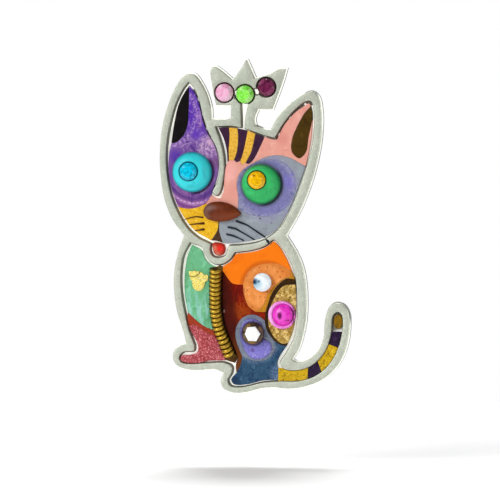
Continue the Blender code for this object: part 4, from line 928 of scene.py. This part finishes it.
def rings_mesh(name, rings, look, smooth=True, caps=(True, True), around=False):
    """A skin over rings of equally many points; a last ring of one point is an apex."""
    points = [tuple(point) for ring in rings for point in ring]
    starts = [sum(len(ring) for ring in rings[:place]) for place in range(len(rings))]
    last = len(rings) - 1
    faces = []
    for one in range(len(rings) if around else last):
        two = (one + 1) % len(rings)
        if len(rings[two]) == 1:
            faces += [(a, starts[two], b) for a, b in neighbours(starts[one], len(rings[one]))]
        else:
            faces += band(starts[one], starts[two], len(rings[one]))
    for place, wanted in ((0, caps[0]), (last, caps[1])):
        if wanted and not around and len(rings[place]) > 1:
            faces.append(tuple(starts[place] + step for step in range(len(rings[place]))))
    return add_mesh(name, points, faces, look, smooth)


def ring(centre, radius, depth, steps=ROUND_STEPS, turn=0.0):
    """Points round a circle at a depth, turned by a share of one step."""
    out = []
    for step in range(steps):
        angle = 2 * math.pi * (step + turn) / steps
        out.append((centre[0] + radius * math.cos(angle), -depth, centre[1] + radius * math.sin(angle)))
    return out


def scaled(loop, centre, scale, depth):
    """A flat loop at a depth, drawn in towards a centre."""
    return [(centre[0] + (x - centre[0]) * scale, -depth, centre[1] + (z - centre[1]) * scale)
            for x, z in loop]


# An eye's seat for its stone, the seat's depth, and the height of the dome's upright foot.
EYE_SEAT = 1.6
EYE_DEPTH = 0.55
EYE_FOOT = 0.18
EYE_LEVELS = 16


def eye_dome(name, node, stone_node, look):
    """A glossy dome with a rolled rim round the seat of its stone."""
    centre, radius = node_circle(node)
    seat, _ = node_circle(stone_node)
    base, top = node_depths(node)
    rings = [ring(centre, radius - 0.03, base)]
    for level in range(EYE_LEVELS + 1):
        share = level / EYE_LEVELS
        width = radius - 0.02 + (EYE_SEAT + 0.1 - radius) * share ** 1.15
        depth = base + EYE_FOOT + (top - base - 0.2) * math.sin(math.pi / 2 * share) ** 0.9
        middle = [centre[axis] + (seat[axis] - centre[axis]) * share for axis in (0, 1)]
        rings.append(ring(middle, width, depth))
    for wider, lower in ((0.05, 0.0), (-0.01, 0.03), (-0.06, 0.12), (-0.08, EYE_DEPTH)):
        rings.append(ring(seat, EYE_SEAT + wider, top - lower))
    stand_for(rings_mesh(name, rings, look), node)


def brilliant(node, look, table, tilt, facets=8):
    """A cut stone in its node's box: crown facets in three rows over a thin girdle."""
    centre, radius = node_circle(node)
    base, top = node_depths(node)
    girdle = base + 0.58 * (top - base)
    many = 2 * facets
    star, flat = 3 * many, 3 * many + facets
    points = ring(centre, 0.3 * radius, base, many, tilt)
    points += ring(centre, 0.985 * radius, girdle - 0.05, many, tilt)
    points += ring(centre, 0.985 * radius, girdle, many, tilt)
    points += ring(centre, 0.8 * radius, girdle + 0.62 * (top - girdle), facets, tilt / 2 + 0.5)
    points += ring(centre, table * radius, top, facets, tilt / 2)
    faces = band(0, many, many) + band(many, 2 * many, many)
    for step in range(facets):
        corner, middle, after = (2 * many + (2 * step + turn) % many for turn in (0, 1, 2))
        before, here = star + (step - 1) % facets, star + step
        table_here, table_after = flat + step, flat + (step + 1) % facets
        faces.append((corner, middle, here))
        faces.append((middle, after, here))
        faces.append((corner, here, table_here, before))
        faces.append((here, table_after, table_here))
    faces.append(tuple(reversed(range(many))))
    faces.append(tuple(range(flat, flat + facets)))
    stand_for(add_mesh(node + "_cut", points, faces, look, smooth=False), node)


CUSHION_LEVELS = 12


def cushion(name, node, look):
    """A drop of glossy enamel with the node's own outline, rolled over at its edge."""
    base, top = node_depths(node)
    loop = resampled(level_outline(node, base), 0.16)
    centre = loop.mean(0)
    rings = [scaled(loop, centre, 1.0, base)]
    for level in range(CUSHION_LEVELS + 1):
        angle = math.pi / 2 * level / (CUSHION_LEVELS + 1)
        depth = base + (top - base) * (0.22 + 0.78 * math.sin(angle) ** 0.9)
        rings.append(scaled(loop, centre, math.cos(angle), depth))
    rings.append([(centre[0], -top, centre[1])])
    stand_for(rings_mesh(name, rings, look, caps=(True, False)), node)


HEX_CORNERS = [(-0.92, -16.25), (0.42, -16.15), (1.3, -17.35), (0.62, -18.6), (-0.75, -18.55), (-1.36, -17.4)]


def divided(corners, parts):
    """A polygon's loop with each side cut into equal parts."""
    loop = []
    for start, stop in zip(corners, corners[1:] + corners[:1]):
        for step in range(parts):
            share = step / parts
            loop.append((start[0] + (stop[0] - start[0]) * share, start[1] + (stop[1] - start[1]) * share))
    return loop


def hex_stone():
    """A six-sided table that stands on a slightly wider foot."""
    base, top = node_depths("hex_stone")
    rings = [scaled(HEX_CORNERS, CUP, scale, depth)
             for scale, depth in ((0.9, base), (0.97, top - 0.3), (0.97, top - 0.1), (0.86, top))]
    stand_for(rings_mesh("hex_stone_cut", rings, "hex_crystal", smooth=False), "hex_stone")


CLAWS = 12


def claw_cup():
    """A dark cup with twelve claws; its inner walls stand round the six-sided stone."""
    centre, outer = node_circle("stone_cup")
    base, top = node_depths("stone_cup")
    height = top - base
    corners = divided(HEX_CORNERS, CLAWS // len(HEX_CORNERS))
    start = max(range(CLAWS), key=lambda place: corners[place][0])
    corners = corners[start:] + corners[:start]
    corners = [corners[0]] + corners[:0:-1]
    rings = []
    for radius, share, pinch in ((outer, 0.0, 0.0), (outer, 0.55, 0.04), (outer - 0.16, 1.0, 0.1)):
        depth = base + height * share * (1 - 0.6 * pinch)
        claws = ring(centre, radius, depth, 2 * CLAWS)
        claws[1::2] = ring(centre, radius - pinch, depth, 2 * CLAWS)[1::2]
        rings.append(claws)
    wall = divided(corners, 2)
    rings += [scaled(wall, centre, 1.0, base + height * share) for share in (0.55, 0.0)]
    stand_for(rings_mesh("claw_cup", rings, "cup_gold", smooth=False, around=True), "stone_cup")


# The coil's line down the body, then its winding. The level makes the front of each turn run straight across.
COIL_LINE = [(-6.3, -6.7), (-6.38, -10.5), (-6.36, -13.2), (-5.95, -16.0), (-5.0, -18.6), (-3.9, -21.2),
             (-3.6, -21.9)]
COIL_TURNS = 20
COIL_RADIUS = 0.69
COIL_WIRE = 0.31
COIL_LEAN = math.radians(24)
COIL_LEVEL = 1.3
COIL_TOP = -7.15
COIL_BOTTOM = -21.35
COIL_STEPS = 32
COIL_SIDES = 12
COIL_WAY = Vector((0.24, 0.1, -0.96))
COIL_GAP = 0.02
LINE_PARTS = 24


def smooth_line(corners):
    """A line that bends smoothly through its corners."""
    ends = [2 * corners[0] - corners[1], *corners, 2 * corners[-1] - corners[-2]]
    line = []
    for before, start, stop, after in zip(ends, ends[1:], ends[2:], ends[3:]):
        for step in range(LINE_PARTS):
            share = step / LINE_PARTS
            one = 2 * start
            two = (stop - before) * share
            three = (2 * before - 5 * start + 4 * stop - after) * share ** 2
            four = (3 * start - before - 3 * stop + after) * share ** 3
            line.append((one + two + three + four) / 2)
    return [*line, corners[-1]]


def add_coil():
    """The spine spring as one round wire, smoothly wound."""
    line = smooth_line([Vector(point) for point in COIL_LINE])

    def at_height(z):
        for a, b in zip(line, line[1:]):
            if a.y >= z >= b.y:
                return a.lerp(b, (a.y - z) / max(a.y - b.y, 1e-9))
        return line[-1] if z < line[-1].y else line[0]

    axis_depth = node_depths("coil_bed")[1] + COIL_GAP + COIL_RADIUS + COIL_WIRE
    centres = []
    for step in range(COIL_TURNS * COIL_STEPS + 1):
        turn = 2 * math.pi * step / COIL_STEPS
        wound = turn + COIL_LEVEL * (math.cos(turn) - 1)
        height = COIL_TOP + (COIL_BOTTOM - COIL_TOP) * wound / (2 * math.pi * COIL_TURNS)
        down = (at_height(height - 0.4) - at_height(height + 0.4)).normalized()
        right = Vector((-down.y, down.x))
        front = COIL_RADIUS * math.sin(turn)
        flat = at_height(height) + right * COIL_RADIUS * math.cos(turn) + down * front * math.tan(COIL_LEAN)
        centres.append(Vector((flat.x, -axis_depth - front, flat.y)))
    turns = [2 * math.pi * side / COIL_SIDES for side in range(COIL_SIDES)]
    rings = []
    for before, centre, after in zip(centres[:1] + centres[:-1], centres, centres[1:] + centres[-1:]):
        along = (after - before).normalized()
        level = along.cross(COIL_WAY).normalized()
        other = along.cross(level)
        rings.append([centre + (level * math.cos(turn) + other * math.sin(turn)) * COIL_WIRE * 0.97
                      for turn in turns])
    stand_for(rings_mesh("coil_wire", rings, "coil_brass"), "coil_spine")


BEZEL_PROFILE = [(0.0, 0.0), (0.0, 0.5), (0.1, 0.8), (0.35, 1.0), (0.75, 0.95), (1.0, 0.6), (1.0, 0.0)]
CABOCHON_FACETS = 18


def add_magenta():
    """A low faceted cabochon, set off centre in a bezel that is broad on its left."""
    centre, outer = node_circle("magenta_ring")
    base, top = node_depths("magenta_ring")
    outer += 0.08
    inner = 1.8
    off = 0.2
    rings = []
    for share, height in BEZEL_PROFILE:
        radius = outer + (inner - outer) * share
        rings.append(ring((centre[0] + off * share, centre[1]), radius, base + (top - base) * height))
    stand_for(rings_mesh("magenta_bezel_ring", rings, "bezel_pink", around=True), "magenta_ring")
    seat = (centre[0] + off, centre[1])
    rings = [ring(seat, radius, base + height, CABOCHON_FACETS, turn) for radius, height, turn in (
        (inner - 0.03, 0.0, 0.0), (inner - 0.03, 0.45, 0.0), (0.7 * inner, 0.85, 0.5),
        (0.35 * inner, 1.0, 0.0), (0.12 * inner, 0.97, 0.0),
    )]
    stand_for(rings_mesh("magenta_cabochon", rings, "magenta_glass", smooth=False), "magenta_stone")


def add_stones():
    eye_dome("turquoise_dome", "turquoise_eye_dome", "aqua_stone", "turquoise")
    eye_dome("green_dome", "green_eye_dome", "yellow_stone", "green")
    for number, tone in enumerate(("pink", "green", "amethyst", "aqua", "yellow")):
        brilliant(tone + "_stone", tone + "_glass", 0.62, 0.35 * number)
    brilliant("clear_stone", "clear_crystal", 0.56, 0.2)
    hex_stone()
    claw_cup()
    add_magenta()


WHISKER_DAB = [(1.85, -2.05), (2.15, -2.0), (2.5, -2.3), (2.62, -2.72), (2.45, -2.85), (2.15, -2.6)]


def add_trim():
    cushion("nose_pour", "nose_drop", "nose")
    cushion("tongue_pour", "tongue_drop", "tongue")
    poured("leaf_scrap", "gold_leaf", "leaf", 0.03, 0.0, 0.05, spacing=0.25)
    poured("bubble_pour", "violet_bubble", "bubble", 0.26, 0.0, 0.4, spacing=0.3)
    middle = np.mean(WHISKER_DAB, axis=0)
    rings = [scaled(WHISKER_DAB, middle, scale, FRAME_TOP + height)
             for scale, height in ((1.0, -0.1), (1.0, 0.03), (0.6, 0.06))]
    rings_mesh("whisker_dab", rings, "whisker_black")
    for side, look in (("left", "whisker_brown"), ("right", "whisker_black")):
        for number in (1, 2, 3):
            node = f"whisker_{side}_{number}"
            poured(node + "_stroke", node, look, 0.16, 0.0, 0.1, spacing=0.2)


def crumple_leaf():
    """Lifts and dents the gold leaf like foil."""
    chance = random.Random(4)
    waves = [(chance.uniform(1.2, 3.2), chance.uniform(0, 6.3), chance.uniform(0, 6.3)) for _ in range(6)]
    foot = node_depths("gold_leaf")[0] + 0.05
    for vertex in bpy.data.objects["leaf_scrap"].data.vertices:
        if vertex.co.y > -foot * MM:
            continue
        x, z = vertex.co.x / MM, vertex.co.z / MM
        lift = sum(math.sin(pace * (x * math.cos(way) + z * math.sin(way)) + shift)
                   for pace, way, shift in waves)
        vertex.co.y += 0.012 * lift * MM


def keep_node(node, look, bevel=0.0):
    """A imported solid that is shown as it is, perhaps with eased edges."""
    item = NODES[node]
    item.data.materials.clear()
    item.data.materials.append(MATERIALS[look])
    if bevel:
        weld = item.modifiers.new("weld", "WELD")
        weld.merge_threshold = 1e-7
        ease = item.modifiers.new("ease", "BEVEL")
        ease.width = bevel * MM
        ease.segments = 3
        ease.limit_method = "ANGLE"
        ease.angle_limit = math.radians(40)


def shade_by_angle(item):
    """Smooth shading that breaks at sharp edges."""
    for polygon in item.data.polygons:
        polygon.use_smooth = True
    item.data.set_sharp_from_angle(angle=math.radians(35))


EASE_STEPS = 4


def bevelled_sheet(name, node, look, wall_look, ease, draft):
    """A flat metal part with rounded front edges and drafted windows, from the node's own front outlines."""
    back, front = node_depths(node)
    loops = [resampled(loop, 0.3) for loop in front_loops(node, front)]
    outer = max(loops, key=lambda loop: abs(area(loop)))
    metal_to_air = [outward(loop) * (-1 if loop is outer else 1) for loop in loops]
    points = []
    border = []
    firsts = []
    for loop, normal in zip(loops, metal_to_air):
        firsts.append(len(points))
        border += neighbours(len(points), len(loop))
        points.extend(loop + normal * ease)
    flat, faces = triangulated(points, border, 1e-7)
    middles = np.array([flat[list(face)].mean(0) for face in faces])
    keep = np.ones(len(faces), bool)
    for loop, first in zip(loops, firsts):
        within = inside(middles, flat[first:first + len(loop)])
        keep &= within if loop is outer else ~within
    cap = [face for face, wanted in zip(faces, keep) if wanted]
    turns = [math.pi / 2 * step / EASE_STEPS for step in range(1, EASE_STEPS + 1)]
    eased = [(ease * (1 - math.sin(turn)), front - ease * (1 - math.cos(turn))) for turn in turns]
    vertices = [(x, -front, z) for x, z in flat]
    sides = []
    walls = []
    below = {}
    for loop, normal, first in zip(loops, metal_to_air, firsts):
        count = len(loop)
        upper = first
        for shift, level in [*eased, (0 if loop is outer else -draft, back)]:
            lower = len(vertices)
            vertices.extend((x, -level, z) for x, z in loop + normal * shift)
            sides += band(upper, lower, count)
            upper = lower
        if loop is not outer:
            walls += range(len(cap) + len(sides) - count, len(cap) + len(sides))
        below.update((first + place, upper + place) for place in range(count))
    under = [tuple(below[corner] for corner in reversed(face)) for face in cap
             if all(corner in below for corner in face)]
    item = add_mesh(name, vertices, cap + sides + under, look)
    item.data.materials.append(MATERIALS[wall_look])
    for place in walls:
        item.data.polygons[place].material_index = 1
    shade_by_angle(item)
    stand_for(item, node)


def add_metal():
    keep_node("backplate", "bright_plate")
    # The windows' walls get the steel darkened as painted shade.
    bevelled_sheet("outline_cast", "outline_frame", "satin_frame", "shaded_wall", 0.14, 0.2)
    keep_node("bar_base", "finding_steel", 0.08)
    keep_node("hinge_rivet", "finding_steel", 0.05)
    keep_node("pin_stem", "finding_steel", 0.03)
    keep_node("catch_housing", "finding_steel", 0.04)
    keep_node("lock_rotor", "collar_brass", 0.05)
    for node in ("hinge_rivet", "pin_stem"):
        shade_by_angle(NODES[node])


# ---------------------------------------------------------------- stage

# Millimetres: the picture's width, and how far its middle lies right of and above the badge's middle.
PICTURE_WIDTH = 81.0
PICTURE_SHIFT = (-0.648, -3.807)
FLOOR_HEIGHT = -38.6
FLOOR_RADIUS = 150.0
FLOOR_STEPS = 64
VIEW_TURN = math.radians(11)
VIEW_RISE = math.radians(3.0)
VIEW_FAR = 1.6
SENSOR = 36
WHITE = (1, 1, 1, 1)


def add_camera():
    """A long lens, turned a little to the badge's right and raised a little."""
    camera = bpy.data.cameras.new("camera")
    camera.sensor_width = SENSOR
    camera.lens = SENSOR * VIEW_FAR / (PICTURE_WIDTH * MM)
    camera.clip_end = 20
    item = bpy.data.objects.new("camera", camera)
    SCENE.collection.objects.link(item)
    side = Vector((math.cos(VIEW_TURN), math.sin(VIEW_TURN), 0))
    back = Vector((math.sin(VIEW_TURN) * math.cos(VIEW_RISE), -math.cos(VIEW_TURN) * math.cos(VIEW_RISE),
                   math.sin(VIEW_RISE)))
    up = back.cross(side)
    face = Vector((0, -FRAME_TOP * MM, 0))
    target = face + (side * PICTURE_SHIFT[0] + up * PICTURE_SHIFT[1]) * MM
    item.location = target + back * VIEW_FAR
    item.rotation_euler = back.to_track_quat("Z", "Y").to_euler()
    SCENE.camera = item


def add_floor():
    mesh = bpy.data.meshes.new("floor")
    rim = [(x * MM, y * MM, FLOOR_HEIGHT * MM) for x, _, y in ring((0, 0), FLOOR_RADIUS, 0, FLOOR_STEPS)]
    mesh.from_pydata(rim, [], [tuple(range(FLOOR_STEPS))])
    made = Surface("floor_card", (255, 255, 255), 0.9)
    made.clouds(40.0, 0.4, 0.6, (252, 252, 252), 0.5, 3.0, 0.5)
    made.set("Specular IOR Level", 0.0)
    mesh.materials.append(made.done())
    item = bpy.data.objects.new("floor", mesh)
    SCENE.collection.objects.link(item)


def add_light(name, kind, place, power):
    """A lamp that points at the middle of the scene."""
    light = bpy.data.lights.new(name, kind)
    light.energy = power
    item = bpy.data.objects.new(name, light)
    item.location = place
    item.rotation_euler = Vector(place).to_track_quat("Z", "Y").to_euler()
    SCENE.collection.objects.link(item)
    return light


def add_softbox(name, place, size, power):
    light = add_light(name, "AREA", place, power)
    light.shape = "DISK"
    light.size = size


def add_overhead(strength, angle):
    """A broad light from high behind: it whitens the floor and drops the soft shadow forward."""
    add_light("overhead", "SUN", (-0.14, 0.7, 1), strength).angle = math.radians(angle)


def add_world(background, room):
    """A white backdrop for the camera in a dimmer grey room."""
    world = bpy.data.worlds.new("studio")
    world.use_nodes = True
    tree = world.node_tree
    seen = tree.nodes["Background"]
    around = tree.nodes.new("ShaderNodeBackground")
    for node, strength in ((seen, background), (around, room)):
        node.inputs["Color"].default_value = WHITE
        node.inputs["Strength"].default_value = strength
    path = tree.nodes.new("ShaderNodeLightPath")
    mix = tree.nodes.new("ShaderNodeMixShader")
    tree.links.new(path.outputs["Is Camera Ray"], mix.inputs[0])
    tree.links.new(around.outputs[0], mix.inputs[1])
    tree.links.new(seen.outputs[0], mix.inputs[2])
    tree.links.new(mix.outputs[0], tree.nodes["World Output"].inputs["Surface"])
    SCENE.world = world


def add_lights():
    add_world(1.0, 0.14)
    add_overhead(2.15, 25)
    add_softbox("key", (-0.42, -0.5, 0.3), 0.5, 3.9)
    add_softbox("fill", (0.55, -0.45, 0.08), 0.4, 0.9)
    add_softbox("back", (0.62, 0.3, 0.1), 0.4, 2.6)


SCENE.view_settings.view_transform = "Standard"
add_camera()
add_floor()
add_lights()
add_enamels()
add_stones()
add_trim()
crumple_leaf()
add_coil()
add_metal()
